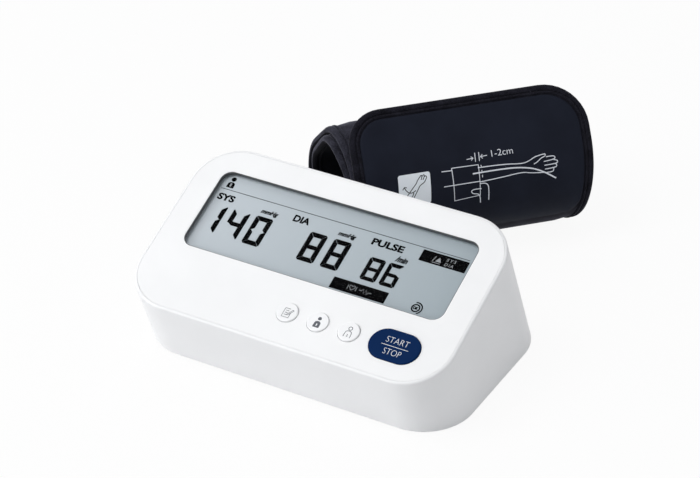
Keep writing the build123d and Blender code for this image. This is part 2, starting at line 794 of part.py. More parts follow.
back_reach = (inner_start - back_foot).dot(flap_normal) / back_way.dot(flap_normal)
ridge = back_foot + back_way * back_reach
back_run = back_reach - top_tangent
front_run = (inner_start - ridge).length - top_tangent


def front_line(depth):
    """The wrap's front at this depth under its outer face, drawn from the hinge down to the table."""
    arc = JernArc(
        front_middle + flap_normal * (roll_radius - depth), -flap_way, roll_radius - depth, -90 - flap_lean
    )
    return arc @ 0, arc @ 1


def wound_line(depth):
    """The rest of its course, twice round from the table to the inner end."""
    start = Vector(0, depth)
    spot, way = start, Vector(-1, 0)
    for length, radius, turn in (
        (roll_flat, roll_back_radius, 180 - roll_back_slope),
        (back_run, roll_top_radius, top_turn),
        (front_run, roll_radius - turn_step, 90 + flap_lean),
        (roll_flat, roll_back_radius - turn_step, 180 - roll_back_slope),
        (back_run, roll_top_radius - turn_step, top_turn),
        (front_run, roll_radius - 2 * turn_step, roll_tail_turn),
    ):
        run = Line(spot, spot + way * length)
        arc = JernArc(run @ 1, way, radius - depth, -turn)
        spot, way = arc @ 1, arc % 1
    return start, spot


def layer_outline(course, outer, inner):
    """Both faces of one layer along a course, between two depths, and its two ends."""
    outer_ends = course(outer)
    inner_ends = course(inner)
    for a, b in zip(outer_ends, inner_ends):
        Line(a, b)


# where a layer starts along the roll, in its front and in its wound part, and how wide it is
whole_width = [(0, -cuff_shift, cuff_width)]
inside_width = [(binding_width, binding_width, cuff_width - cuff_shift - 2 * binding_width)]
both_edges = [
    (start, start - cuff_shift, binding_width - cloth_gap)
    for start in (0, cuff_width - binding_width + cloth_gap)
]
for name, outer, inner, spans in (
    ("cuff_cover", 0, cover_cloth, whole_width),
    ("cuff_curler", curler_depth, curler_depth + curler_sheet, inside_width),
    ("cuff_bladder", bladder_depth, bladder_depth + bladder_bag, inside_width),
    ("cuff_binding", curler_depth, lining_depth - cloth_gap, both_edges),
    ("cuff_lining", lining_depth, wrap_thickness, whole_width),
):
    with BuildPart() as layer:
        for front_start, wound_start, width in spans:
            for start, course in ((front_start, front_line), (wound_start, wound_line)):
                with BuildSketch(roll_end.offset(-start)):
                    with BuildLine():
                        layer_outline(course, outer, inner)
                    make_face()
                extrude(amount=-width)
    save(layer, name)

# ---------------- cuff: the free flap, its binding and its hook pad
flap_plane = Plane(
    origin=roll_end.from_local_coords(hinge_point),
    x_dir=roll_axis,
    z_dir=roll_front * flap_normal.X + Vector(0, 0, flap_normal.Y),
)


def flap_outline(inset):
    """The flap's outline, drawn in by inset at its free edges."""
    left, right, high = inset, cuff_width - inset, flap_length - inset
    FilletPolyline(
        (left, hinge_gap),
        (left, high),
        (right, high),
        (right, hinge_gap),
        radius=(flap_corner_left - inset, flap_corner_right - inset),
    )
    Line((right, hinge_gap), (left, hinge_gap))


with BuildPart() as flap_binding:
    with BuildSketch(flap_plane):
        with BuildLine():
            flap_outline(0)
        make_face()
    extrude(amount=-wrap_thickness)
    with BuildSketch(flap_plane):
        with BuildLine():
            flap_outline(binding_width)
        make_face()
    extrude(amount=-wrap_thickness, mode=Mode.SUBTRACT)
save(flap_binding, "flap_binding")

pad_middle = (cuff_width / 2, flap_length / 2)
pad_size = (cuff_width - 2 * flap_corner_right, flap_length - 2 * (binding_width + hook_pad_edge))
with BuildPart() as cuff_flap:
    with BuildSketch(flap_plane):
        with BuildLine():
            flap_outline(binding_width + cloth_gap)
        make_face()
    extrude(amount=-wrap_thickness)
    with BuildSketch(flap_plane.offset(-wrap_thickness)):
        with Locations(pad_middle):
            Rectangle(pad_size[0] + 2 * cloth_gap, pad_size[1] + 2 * cloth_gap)
    extrude(amount=hook_pad_thickness, mode=Mode.SUBTRACT)
save(cuff_flap, "cuff_flap")

with BuildPart() as hook_pad:
    with BuildSketch(flap_plane.offset(-wrap_thickness)):
        with Locations(pad_middle):
            Rectangle(*pad_size)
    extrude(amount=hook_pad_thickness - cloth_gap)
save(hook_pad, "hook_pad")

# ---------------- cuff: care tag on the front, air tube's gland on the back
with BuildPart() as care_tag:
    with BuildSketch(roll_end.offset(-tag_along)):
        with BuildLine():
            low_angle = tag_top_angle - tag_length / roll_radius * 180 / pi
            arcs = [
                CenterArc(front_middle, roll_radius + depth, low_angle, tag_top_angle - low_angle)
                for depth in (cloth_gap, cloth_gap + tag_thickness)
            ]
            Line(arcs[0] @ 0, arcs[1] @ 0)
            Line(arcs[0] @ 1, arcs[1] @ 1)
        make_face()
    extrude(amount=-tag_width)
save(care_tag, "care_tag")

gland_plane = Plane(
    origin=roll_end.offset(-gland_along).from_local_coords(
        Vector(-roll_flat - roll_back_radius - cloth_gap, roll_back_radius)
    ),
    x_dir=roll_axis,
    z_dir=-roll_front,
)
with BuildPart() as tube_gland:
    with BuildSketch(gland_plane):
        Circle(gland_diameter / 2)
    extrude(amount=gland_thickness)
    chamfer(tube_gland.faces().sort_by(Axis(gland_plane.origin, gland_plane.z_dir))[-1].edges(), gland_edge)
    with BuildSketch(gland_plane.offset(gland_thickness)):
        Circle(barb_diameter / 2)
    extrude(amount=barb_length)
    with BuildSketch(gland_plane):
        Circle(barb_bore / 2)
    extrude(amount=gland_thickness + barb_length, mode=Mode.SUBTRACT)
save(tube_gland, "tube_gland")
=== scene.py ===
import json
import math
import bpy
import bmesh
from mathutils import Matrix, Vector


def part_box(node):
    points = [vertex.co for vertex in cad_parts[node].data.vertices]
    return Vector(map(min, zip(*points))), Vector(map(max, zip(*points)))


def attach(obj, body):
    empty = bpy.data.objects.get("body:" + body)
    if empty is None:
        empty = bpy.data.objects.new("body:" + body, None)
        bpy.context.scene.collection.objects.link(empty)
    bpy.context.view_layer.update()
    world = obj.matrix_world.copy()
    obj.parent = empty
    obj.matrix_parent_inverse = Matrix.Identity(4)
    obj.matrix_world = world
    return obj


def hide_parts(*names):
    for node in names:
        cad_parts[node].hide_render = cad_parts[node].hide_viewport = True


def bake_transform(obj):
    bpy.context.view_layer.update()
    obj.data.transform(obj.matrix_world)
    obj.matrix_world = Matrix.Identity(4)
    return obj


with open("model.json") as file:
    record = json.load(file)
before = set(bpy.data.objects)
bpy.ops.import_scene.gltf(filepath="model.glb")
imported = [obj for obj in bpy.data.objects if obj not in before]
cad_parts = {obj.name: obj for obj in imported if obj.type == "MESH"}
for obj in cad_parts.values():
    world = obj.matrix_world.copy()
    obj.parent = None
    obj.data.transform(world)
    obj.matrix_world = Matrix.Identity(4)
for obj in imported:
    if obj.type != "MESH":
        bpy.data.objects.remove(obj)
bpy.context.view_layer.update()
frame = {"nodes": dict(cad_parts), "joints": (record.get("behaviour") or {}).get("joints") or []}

nodes = frame["nodes"]
mm = 0.001
weld = {"cut": 1e-5, "flat": 0.001, "placed": 0.002}  # points nearer than this are one, in millimetres
roundSteps = 10  # straight pieces in a rounded corner of a large outline

# the monitor's sloping face, in millimetres; the lens sits under the middle of the window
face = {
    "tilt": 22.5,
    "lensMiddleDepth": 2.8,
    "windowUp": 12.7,
    "windowWidth": 158.0,
    "windowLength": 52.4,
    "windowCorner": 6.5,
    "panelThickness": 2.2,
    "keyProud": 0.9,
}
alongFace = Vector((0, math.cos(math.radians(face["tilt"])), math.sin(math.radians(face["tilt"]))))
outOfFace = Vector((0, -alongFace.z, alongFace.y))
lensLow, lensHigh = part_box("display_lens")
windowMiddle = (lensLow + lensHigh) / 2 + outOfFace * face["lensMiddleDepth"] * mm
faceMiddle = windowMiddle - alongFace * face["windowUp"] * mm


def facePlace():
    # takes millimetres along X, up the slope and out of the face to the world
    turn = Matrix((Vector((1, 0, 0)), alongFace, outOfFace)).transposed().to_4x4()
    return Matrix.Translation(faceMiddle) @ turn @ Matrix.Scale(mm, 4)


# the cuff's wrap, in millimetres: its course is followed on its outer face, from the hinge of the flap
cuff = {
    "width": 140.0,
    "thickness": 4.95,
    "gap": 0.4,
    "frontRadius": 40.0,
    "backRadius": 30.0,
    "floorRun": 16.0,
    "backSlope": 44.0,
    "topRadius": 31.0,
    "lean": 38.5,
    "flapLength": 34.5,
    "cornerLeft": 20.0,
    "cornerRight": 26.0,
    "tailTurn": 60.0,
    "tailCorner": 9.0,
    "liningShare": 0.6,
    "hingeReach": 6.0,
}
hinge = next(j for j in frame["joints"] if j["name"] == "cuff_flap_open")
hingePlace = Vector(hinge["pos_m"])
rollAxis = Vector(hinge["axis"]).normalized()
rollFront = rollAxis.cross(Vector((0, 0, 1)))


def wrapCourse():
    # every stretch of the section: length, radius (none where straight), start and heading
    lean = math.radians(cuff["lean"])
    slope = math.radians(cuff["backSlope"])
    step = cuff["thickness"] + cuff["gap"]
    normal = Vector((math.cos(lean), math.sin(lean)))
    backWay = Vector((math.cos(slope), math.sin(slope)))
    backNormal = Vector((-backWay.y, backWay.x))
    backFoot = Vector((-cuff["floorRun"], cuff["backRadius"])) + backNormal * cuff["backRadius"]
    innerStart = Vector((0, cuff["frontRadius"])) + normal * (cuff["frontRadius"] - step)
    reach = (innerStart - backFoot).dot(normal) / backWay.dot(normal)
    ridge = backFoot + backWay * reach
    topTurn = slope + math.pi / 2 - lean
    tangent = cuff["topRadius"] * math.tan(topTurn / 2)
    frontTurn = math.pi / 2 + lean
    stretches = [(None, frontTurn, cuff["frontRadius"])]
    for lap in (0, 1):
        inset = lap * step
        stretches += [
            (cuff["floorRun"], None, None),
            (None, math.pi - slope, cuff["backRadius"] - inset),
            (reach - tangent, None, None),
            (None, topTurn, cuff["topRadius"] - inset),
            ((innerStart - ridge).length - tangent, None, None),
            (None, (frontTurn, math.radians(cuff["tailTurn"]))[lap], cuff["frontRadius"] - inset - step),
        ]
    course = []
    spot = Vector((0, cuff["frontRadius"])) + normal * cuff["frontRadius"]
    heading = lean - math.pi / 2
    start = 0.0
    for run, turn, radius in stretches:
        length = run if radius is None else turn * radius
        course.append((start, length, radius, spot.copy(), heading))
        way = Vector((math.cos(heading), math.sin(heading)))
        if radius is None:
            spot += way * run
        else:
            out = Vector((-way.y, way.x))
            heading -= turn
            spot += Vector((-math.sin(heading), math.cos(heading))) * radius - out * radius
        start += length
    return course, start


course, courseLength = wrapCourse()
courseStart = course[0][3]


def clamped(value):
    return min(max(value, 0), 1)


def eased(share):
    # from 0 to 1 with a soft start and a soft end
    return share * share * (3 - 2 * share)


def sectionAt(t):
    # point of the outer face and the way out of it, this far along the course
    stretch = course[0]
    for candidate in course:
        if candidate[0] <= t:
            stretch = candidate
    start, _, radius, spot, heading = stretch
    way = Vector((math.cos(heading), math.sin(heading)))
    out = Vector((-way.y, way.x))
    if radius is None or t < 0:
        return spot + way * (t - start), out
    turned = heading - (t - start) / radius
    turnedOut = Vector((-math.sin(turned), math.cos(turned)))
    return spot - out * radius + turnedOut * radius, turnedOut


# how far the wrap wanders to the left on its way round: share of the course, millimetres
wander = [
    (0.0, 0.0), (0.06, 1.6), (0.13, 4.8), (0.19, 7.4), (0.30, 8.6), (0.42, 3.5), (0.56, -0.8),
    (0.66, 4.0), (0.78, 7.9), (0.90, 6.8), (1.0, -2.8),
]
wanderSoftness = (-0.03, -0.015, 0.0, 0.015, 0.03)


def wanderAt(t):
    total = 0.0
    for nudge in wanderSoftness:
        share = clamped(t / courseLength + nudge)
        low, high = next(pair for pair in zip(wander, wander[1:]) if share <= pair[1][0])
        total += low[1] + (high[1] - low[1]) * (share - low[0]) / (high[0] - low[0])
    return total / len(wanderSoftness)


# the roll's left end sags a little over the outer turn's top, the fifth stretch of the course
sag = {"most": 1.5, "reach": 18.0, "along": 48.0}
sagMiddle = course[4][0] + course[4][1] / 2


def sagAt(s, t):
    edge = clamped(1 - s / sag["reach"])
    share = min(abs(t - sagMiddle) / sag["along"], 1)
    return sag["most"] * edge * edge * (1 - eased(share))


def rollPoint(s, t, height):
    # s runs along the roll from its left end, t along the course, height out of the outer face
    spot, out = sectionAt(t)
    spot = (spot + out * height - courseStart - Vector((0, sagAt(s, t)))) * mm
    return hingePlace + rollAxis * (s - wanderAt(t)) * mm + rollFront * spot.x + Vector((0, 0, spot.y))


def addObject(name, data):
    made = bpy.data.objects.new(name, data)
    bpy.context.scene.collection.objects.link(made)
    return made


def finishPiece(name, bm, materialName, body=None, sharp=35.0):
    # turns a bmesh into a piece of the model; with a body it hangs from that body's empty, without one its
    # place is baked into its mesh
    bmesh.ops.remove_doubles(bm, verts=bm.verts, dist=weld["placed"] * mm)
    bmesh.ops.recalc_face_normals(bm, faces=bm.faces)
    mesh = bpy.data.meshes.new(name)
    bm.to_mesh(mesh)
    bm.free()
    mesh.shade_smooth()
    mesh.set_sharp_from_angle(angle=math.radians(sharp))
    mesh.materials.append(materials[materialName])
    piece = addObject(name, mesh)
    if body:
        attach(piece, body)
    else:
        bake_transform(piece)
    return piece


def addOutline(bm, points, corners, segments=8):
    # a flat face from a few corner points, each rounded by its own radius
    made = [bm.verts.new((x, y, 0)) for x, y in points]
    outline = bm.faces.new(made)
    before = set(bm.faces) - {outline}
    for vert, radius in zip(made, corners):
        if radius > 0:
            bmesh.ops.bevel(
                bm, geom=[vert], offset=radius, offset_type="OFFSET", affect="VERTICES",
                segments=segments, profile=0.5, material=-1,
            )
    return [f for f in bm.faces if f not in before]


def insetFaces(bm, faces, thickness, depth=0.0):
    return bmesh.ops.inset_region(
        bm, faces=faces, thickness=thickness, depth=depth, use_even_offset=True, use_boundary=True
    )["faces"]


def thicken(bm, faces, rise):
    # gives flat faces a thickness, upwards
    made = bmesh.ops.extrude_face_region(bm, geom=faces)["geom"]
    lifted = [v for v in made if isinstance(v, bmesh.types.BMVert)]
    bmesh.ops.translate(bm, verts=lifted, vec=(0, 0, rise))


def addSlab(bm, points, corners, low, high, segments=4):
    # an outline with a thickness between two heights
    faces = addOutline(bm, points, corners, segments)
    for vert in {v for f in faces for v in f.verts}:
        vert.co.z = low
    thicken(bm, faces, high - low)


def addFlatDisc(bm, middle, radius, height, segments):
    made = bmesh.ops.create_circle(bm, cap_ends=True, radius=radius, segments=segments)["verts"]
    bmesh.ops.translate(bm, verts=made, vec=(*middle, height))
    return list({f for v in made for f in v.link_faces})


def addDisc(bm, middle, radius, low, high, segments=20):
    thicken(bm, addFlatDisc(bm, middle, radius, low, segments), high - low)


def addRing(bm, middle, radius, width, low, high, segments=24):
    disc = addFlatDisc(bm, middle, radius, low, segments)
    edge = insetFaces(bm, disc, width)
    bmesh.ops.delete(bm, geom=disc, context="FACES")
    thicken(bm, edge, high - low)


def rectangle(left, right, low, high):
    return [(left, low), (right, low), (right, high), (left, high)]


def moved(points, place):
    return [(x + place[0], y + place[1]) for x, y in points]


def meshOfCurve(curve):
    # the curve is used up
    holder = addObject(curve.name, curve)
    bpy.context.view_layer.update()
    mesh = bpy.data.meshes.new_from_object(holder.evaluated_get(bpy.context.evaluated_depsgraph_get()))
    bpy.data.objects.remove(holder)
    bpy.data.curves.remove(curve)
    return mesh


def addMesh(bm, mesh, place):
    # the mesh is used up
    mesh.transform(place)
    bm.from_mesh(mesh)
    bpy.data.meshes.remove(mesh)


def addWord(bm, word, left, right, low, high, height, depth, weight=0.0, slant=0.0, spacing=1.0):
    # raised letters that just fill a rectangle
    letters = bpy.data.curves.new(word, "FONT")
    letters.body = word
    letters.size = 1.0
    letters.offset = weight
    letters.shear = slant
    letters.space_character = spacing
    letters.extrude = 0.5
    letters.resolution_u = 6
    mesh = meshOfCurve(letters)
    xs = [v.co.x for v in mesh.vertices]
    ys = [v.co.y for v in mesh.vertices]
    scale = ((right - left) / (max(xs) - min(xs)), (high - low) / (max(ys) - min(ys)), depth, 1)
    place = Matrix.Translation((left, low, height + depth / 2)) @ Matrix.Diagonal(scale)
    addMesh(bm, mesh, place @ Matrix.Translation((-min(xs), -min(ys), 0)))


def addStroke(bm, points, width, height, depth, smooth=False):
    # a drawn line: a flattened round bead along a few points
    line = bpy.data.curves.new("stroke", "CURVE")
    line.dimensions = "3D"
    line.bevel_depth = width / 2
    line.bevel_resolution = 1
    line.use_fill_caps = True
    line.resolution_u = 6
    spline = line.splines.new("NURBS" if smooth else "POLY")
    spline.points.add(len(points) - 1)
    for point, (x, y) in zip(spline.points, points):
        point.co = (x, y, 0, 1)
    if smooth:
        spline.order_u = 3
        spline.use_endpoint_u = True
    flatten = Matrix.Diagonal((1, 1, 2 * depth / width, 1))
    addMesh(bm, meshOfCurve(line), Matrix.Translation((0, 0, height)) @ flatten)


def ontoFace(bm):
    bmesh.ops.transform(bm, matrix=facePlace(), verts=bm.verts)


def ontoRoll(bm):
    # flat coordinates (along the roll, up from the hinge, height) become the rolled place
    for vert in bm.verts:
        s, up, height = vert.co
        vert.co = rollPoint(s, -up, height)


def cutAcross(bm, axis, start, stop, spacing):
    # straight cuts through everything, square to one axis
    count = max(int((stop - start) / spacing), 1)
    normal = Vector((axis == 0, axis == 1, 0))
    for i in range(1, count):
        place = normal * (start + (stop - start) * i / count)
        geometry = bm.verts[:] + bm.edges[:] + bm.faces[:]
        bmesh.ops.bisect_plane(bm, geom=geometry, plane_co=place, plane_no=normal, dist=weld["cut"])


def fill(node, values):
    # each value is a number, a colour or another node's socket
    for name, value in values.items():
        if isinstance(value, bpy.types.NodeSocket):
            node.id_data.links.new(value, node.inputs[name])
        else:
            node.inputs[name].default_value = value


def addNode(tree, kind, values):
    node = tree.nodes.new("ShaderNode" + kind)
    fill(node, values)
    return node


def newMaterial(name):
    material = bpy.data.materials.new(name)
    material.use_nodes = True
    tree = material.node_tree
    return material, tree, tree.nodes["Principled BSDF"]


def calculate(tree, operation, *values):
    step = addNode(tree, "Math", dict(enumerate(values)))
    step.operation = operation
    return step.outputs["Value"]


def grainNoise(tree, scale, detail=3.0, stretch=(1, 1, 1)):
    place = addNode(tree, "TexCoord", {})
    mapping = addNode(tree, "Mapping", {"Vector": place.outputs["Object"], "Scale": stretch})
    values = {"Vector": mapping.outputs["Vector"], "Scale": scale, "Detail": detail}
    return addNode(tree, "TexNoise", values).outputs["Fac"]


def colourBetween(tree, factor, low, high, start=0.35, end=0.65):
    ramp = addNode(tree, "ValToRGB", {"Fac": factor})
    stops = ramp.color_ramp.elements
    stops[0].position, stops[1].position = start, end
    stops[0].color, stops[1].color = (*low, 1), (*high, 1)
    return ramp.outputs["Color"]


def valueBetween(tree, factor, low, high, start=0.3, end=0.7):
    values = {"Value": factor, "From Min": start, "From Max": end, "To Min": low, "To Max": high}
    return addNode(tree, "MapRange", values).outputs["Result"]


def bumpFrom(tree, height, depth):
    # the depth is in millimetres
    bump = addNode(tree, "Bump", {"Height": height, "Strength": 1.0, "Distance": depth * mm})
    return bump.outputs["Normal"]


def mouldedMaterial(
    name, colour, roughness, vary=0.015, roughVary=0.04, grain=2600.0, depth=0.012, gloss=0.5
):
    # faint drift of colour and gloss, and a fine surface grain
    material, tree, shader = newMaterial(name)
    fine = grainNoise(tree, grain, 2.0)
    low = [c * (1 - vary) for c in colour]
    high = [min(c * (1 + vary), 1) for c in colour]
    fill(shader, {
        "Base Color": colourBetween(tree, grainNoise(tree, 28.0), low, high),
        "Roughness": valueBetween(tree, fine, roughness - roughVary, roughness + roughVary),
        "Specular IOR Level": gloss,
        "Normal": bumpFrom(tree, fine, depth),
    })
    return material


def brushedMaterial(name, colour, roughness, way):
    # fine lines along one axis
    material, tree, shader = newMaterial(name)
    stretch = [1.0, 1.0, 1.0]
    stretch[way] = 0.03
    lines = grainNoise(tree, 1500.0, 2.0, stretch)
    fill(shader, {
        "Base Color": colourBetween(tree, lines, [c * 0.86 for c in colour], colour),
        "Roughness": valueBetween(tree, lines, roughness - 0.08, roughness + 0.1),
        "Metallic": 1.0,
        "Normal": bumpFrom(tree, lines, 0.01),
    })
    return material


def boardMaterial(name):
    # green solder mask with copper tracks showing under it
    material, tree, shader = newMaterial(name)
    tracks = addNode(tree, "TexBrick", {
        "Vector": addNode(tree, "TexCoord", {}).outputs["Object"],
        "Scale": 180.0,
        "Mortar Size": 0.03,
        "Color1": (0.01, 0.10, 0.045, 1),
        "Color2": (0.012, 0.13, 0.055, 1),
        "Mortar": (0.06, 0.26, 0.10, 1),
    })
    normal = bumpFrom(tree, tracks.outputs["Fac"], 0.03)
    fill(shader, {"Base Color": tracks.outputs["Color"], "Roughness": 0.32, "Normal": normal})
    return material


def displayMaterial(name):
    # reflective display glass with a painted reflection that leaves it lighter at the left and a little
    # darker towards the right, with a very fine sparkle
    material, tree, shader = newMaterial(name)
    split = addNode(tree, "SeparateXYZ", {"Vector": addNode(tree, "TexCoord", {}).outputs["Object"]})
    across = valueBetween(tree, split.outputs["X"], 0.0, 1.0, -0.08, 0.08)
    # painted reflection: the base colour fades from light at the left to darker at the right
    paintedReflectionFade = colourBetween(tree, across, (0.62, 0.68, 0.725), (0.42, 0.49, 0.53), 0.0, 1.0)
    sparkle = colourBetween(tree, grainNoise(tree, 2400.0, 1.0), (0.94, 0.94, 0.94), (1, 1, 1))
    mix = tree.nodes.new("ShaderNodeMix")
    mix.data_type = "RGBA"
    mix.blend_type = "MULTIPLY"
    fill(mix, {"Factor": 0.5, "A": paintedReflectionFade, "B": sparkle})
    fill(shader, {"Base Color": mix.outputs["Result"], "Roughness": 0.35, "Specular IOR Level": 0.3})
    return material


def lensMaterial(name):
    # thin clear window: mostly see-through, with a faint reflection
    material, tree, shader = newMaterial(name)
    rough = valueBetween(tree, grainNoise(tree, 60.0, 1.0), 0.04, 0.07)
    fill(shader, {"Base Color": (0.01, 0.012, 0.014, 1), "Roughness": rough, "Alpha": 0.04})
    return material


def feltMaterial(name, dark, light, fibre=0.10, sheen=0.45):
    # short fibres that catch the light, cloudy in patches
    material, tree, shader = newMaterial(name)
    fibres = calculate(tree, "MULTIPLY", grainNoise(tree, 1500.0, 4.0), 0.65)
    blend = calculate(tree, "MULTIPLY_ADD", grainNoise(tree, 160.0, 3.0), 0.35, fibres)
    fill(shader, {
        "Base Color": colourBetween(tree, blend, dark, light, 0.38, 0.62),
        "Roughness": 0.92,
        "Specular IOR Level": 0.08,
        "Sheen Weight": sheen,
        "Sheen Roughness": 0.3,
        "Sheen Tint": (0.50, 0.50, 0.60, 1),
        "Normal": bumpFrom(tree, blend, fibre),
    })
    return material


def wovenMaterial(name, dark, light, pitch=0.32, depth=0.03, roughness=0.5):
    # close plain weave that follows the flat cloth, threads over and under
    material, tree, shader = newMaterial(name)
    flat = tree.nodes.new("ShaderNodeUVMap")
    flat.uv_map = "flatCloth"
    split = addNode(tree, "SeparateXYZ", {"Vector": flat.outputs["UV"]})
    threads = []
    for axis in ("X", "Y"):
        wave = calculate(tree, "MULTIPLY", split.outputs[axis], math.pi / (pitch * mm))
        threads.append(calculate(tree, "SINE", wave))
    clouds = grainNoise(tree, 45.0, 2.0)
    fill(shader, {
        "Base Color": colourBetween(tree, clouds, dark, light),
        "Roughness": valueBetween(tree, clouds, roughness - 0.05, roughness + 0.05),
        "Specular IOR Level": 0.03,
        "Normal": bumpFrom(tree, calculate(tree, "MULTIPLY", *threads), depth),
    })
    return material


# plastics, rubbers and inks: colour, roughness and what differs from the usual
moulded = {
    "caseWhite": ((0.88, 0.885, 0.895), 0.42, {"depth": 0.006}),
    "panelWhite": ((0.90, 0.905, 0.91), 0.36, {"depth": 0.004}),
    "baseWhite": ((0.80, 0.805, 0.815), 0.5, {"grain": 1600.0, "depth": 0.02}),
    "keyWhite": ((0.90, 0.905, 0.915), 0.34, {"depth": 0.004}),
    "keyBlue": (
        (0.0014, 0.0182, 0.080), 0.5, {"vary": 0.05, "roughVary": 0.02, "depth": 0.001, "gloss": 0.04},
    ),
    "footRubber": ((0.30, 0.31, 0.32), 0.75, {"depth": 0.03}),
    "blackPlastic": ((0.02, 0.02, 0.022), 0.45, {}),
    "chipBlack": ((0.016, 0.016, 0.018), 0.55, {"grain": 3500.0}),
    "matSilicone": ((0.42, 0.43, 0.44), 0.6, {}),
    "saddleRubber": ((0.05, 0.05, 0.055), 0.8, {"depth": 0.03}),
    "hoseSilicone": ((0.62, 0.63, 0.62), 0.35, {}),
    "jackGrey": ((0.22, 0.23, 0.25), 0.4, {}),
    "leadRed": ((0.45, 0.02, 0.015), 0.4, {}),
    "sleeveGreen": ((0.02, 0.16, 0.10), 0.28, {"vary": 0.1}),
    "stripRubber": ((0.55, 0.5, 0.42), 0.7, {}),
    "glandRubber": ((0.03, 0.03, 0.034), 0.7, {"depth": 0.03}),
    "curlerSheet": ((0.45, 0.45, 0.47), 0.4, {}),
    "bladderSheet": ((0.30, 0.31, 0.34), 0.45, {}),
    "inkBlack": ((0.0008, 0.0008, 0.001), 0.9, {"vary": 0.1, "gloss": 0.01}),
    "inkGrey": ((0.075, 0.083, 0.10), 0.5, {}),
    "inkDark": ((0.01, 0.011, 0.014), 0.7, {}),
    "inkWhite": ((0.80, 0.81, 0.83), 0.5, {}),
    "printSilver": ((0.74, 0.77, 0.83), 0.55, {"vary": 0.05}),
    # a dark seal whose colour also paints the shade inside the window's recess
    "sealAndShadeDark": ((0.06, 0.065, 0.07), 0.5, {}),
    "tagGrey": ((0.82, 0.87, 0.92), 0.5, {"vary": 0.03}),
    "signGrey": ((0.34, 0.36, 0.38), 0.6, {}),
    "hookBlack": ((0.012, 0.012, 0.014), 0.45, {}),
    "threadBlack": ((0.007, 0.007, 0.010), 0.8, {"gloss": 0.1}),
}
# metals: colour, roughness and the axis that the lines follow
brushed = {
    "screwSteel": ((0.58, 0.58, 0.60), 0.3, 0),
    "motorSteel": ((0.56, 0.56, 0.57), 0.32, 1),
    "contactNickel": ((0.66, 0.65, 0.60), 0.22, 2),
}
# brushed cloths: dark and light fibre, and where they differ their length and sheen
felts = {
    "feltDark": ((0.0055, 0.0055, 0.0085), (0.040, 0.040, 0.056)),
    "rimFelt": ((0.0030, 0.0030, 0.0048), (0.017, 0.017, 0.025)),
    # the lining cloth, darkened further so that its colour also paints the shade inside the roll's hollow
    "liningAndShadeBlack": ((0.0018, 0.0018, 0.0028), (0.005, 0.005, 0.008), 0.04, 0.06),
    "tapeBlack": ((0.005, 0.005, 0.008), (0.013, 0.014, 0.019), 0.05),
}
materials = {
    "boardGreen": boardMaterial("boardGreen"),
    "displayGlass": displayMaterial("displayGlass"),
    "lensClear": lensMaterial("lensClear"),
    "printCloth": wovenMaterial("printCloth", (0.0120, 0.0140, 0.0225), (0.0146, 0.0172, 0.0275)),
}
materials.update({name: mouldedMaterial(name, *usual, **rest) for name, (*usual, rest) in moulded.items()})
materials.update({name: brushedMaterial(name, *values) for name, values in brushed.items()})
materials.update({name: feltMaterial(name, *values) for name, values in felts.items()})
print("materials made")

nodeMaterials = {
    "caseWhite": ["upper_case"],
    "panelWhite": ["front_panel"],
    "baseWhite": ["lower_case", "battery_cover"],
    "keyBlue": ["start_stop_key"],
    "keyWhite": ["memory_key", "user_one_key", "user_two_key"],
    "lensClear": ["display_lens"],
    "displayGlass": ["lcd_glass"],
    "stripRubber": ["elastomer_strip"],
    "boardGreen": ["main_board"],
    "chipBlack": ["board_components", "buzzer", "pressure_sensor"],
    "matSilicone": ["key_mat"],
    "blackPlastic": ["lcd_holder", "pump_head", "air_manifold", "dc_jack"],
    "footRubber": ["rubber_feet"],
    "screwSteel": ["case_screws", "board_screws"],
    "motorSteel": ["pump_motor", "release_valve"],
    "saddleRubber": ["pump_saddle"],
    "hoseSilicone": ["air_hoses"],
    "sleeveGreen": ["battery_cells"],
    "contactNickel": ["battery_contacts"],
    "leadRed": ["battery_leads"],
    "jackGrey": ["air_jack"],
    "glandRubber": ["tube_gland"],
    "curlerSheet": ["cuff_curler"],
    "bladderSheet": ["cuff_bladder"],
}
for materialName, nodeNames in nodeMaterials.items():
    for nodeName in nodeNames:
        for materialSlot in nodes[nodeName].material_slots:
            materialSlot.material = materials[materialName]

# the window's dark seal, whose colour also paints the shade inside the window's recess, in millimetres
sealAndShade = {"thickness": 0.35, "top": -0.25, "gap": 0.03}


def makeWindowSealAndShade():
    bm = bmesh.new()
    across, along = (face[key] / 2 - sealAndShade["gap"] for key in ("windowWidth", "windowLength"))
    up = face["windowUp"]
    corner = face["windowCorner"] - sealAndShade["gap"]
    foot = sealAndShade["gap"] - face["panelThickness"]
    outline = addOutline(bm, rectangle(-across, across, up - along, up + along), [corner] * 4, roundSteps)
    edge = insetFaces(bm, outline, sealAndShade["thickness"])
    bmesh.ops.delete(bm, geom=outline, context="FACES")
    bmesh.ops.translate(bm, verts=bm.verts, vec=(0, 0, foot))
    thicken(bm, edge, sealAndShade["top"] - foot)
    ontoFace(bm)
    finishPiece("windowSealAndShade", bm, "sealAndShadeDark", "monitor")


makeWindowSealAndShade()
print("window seal made")

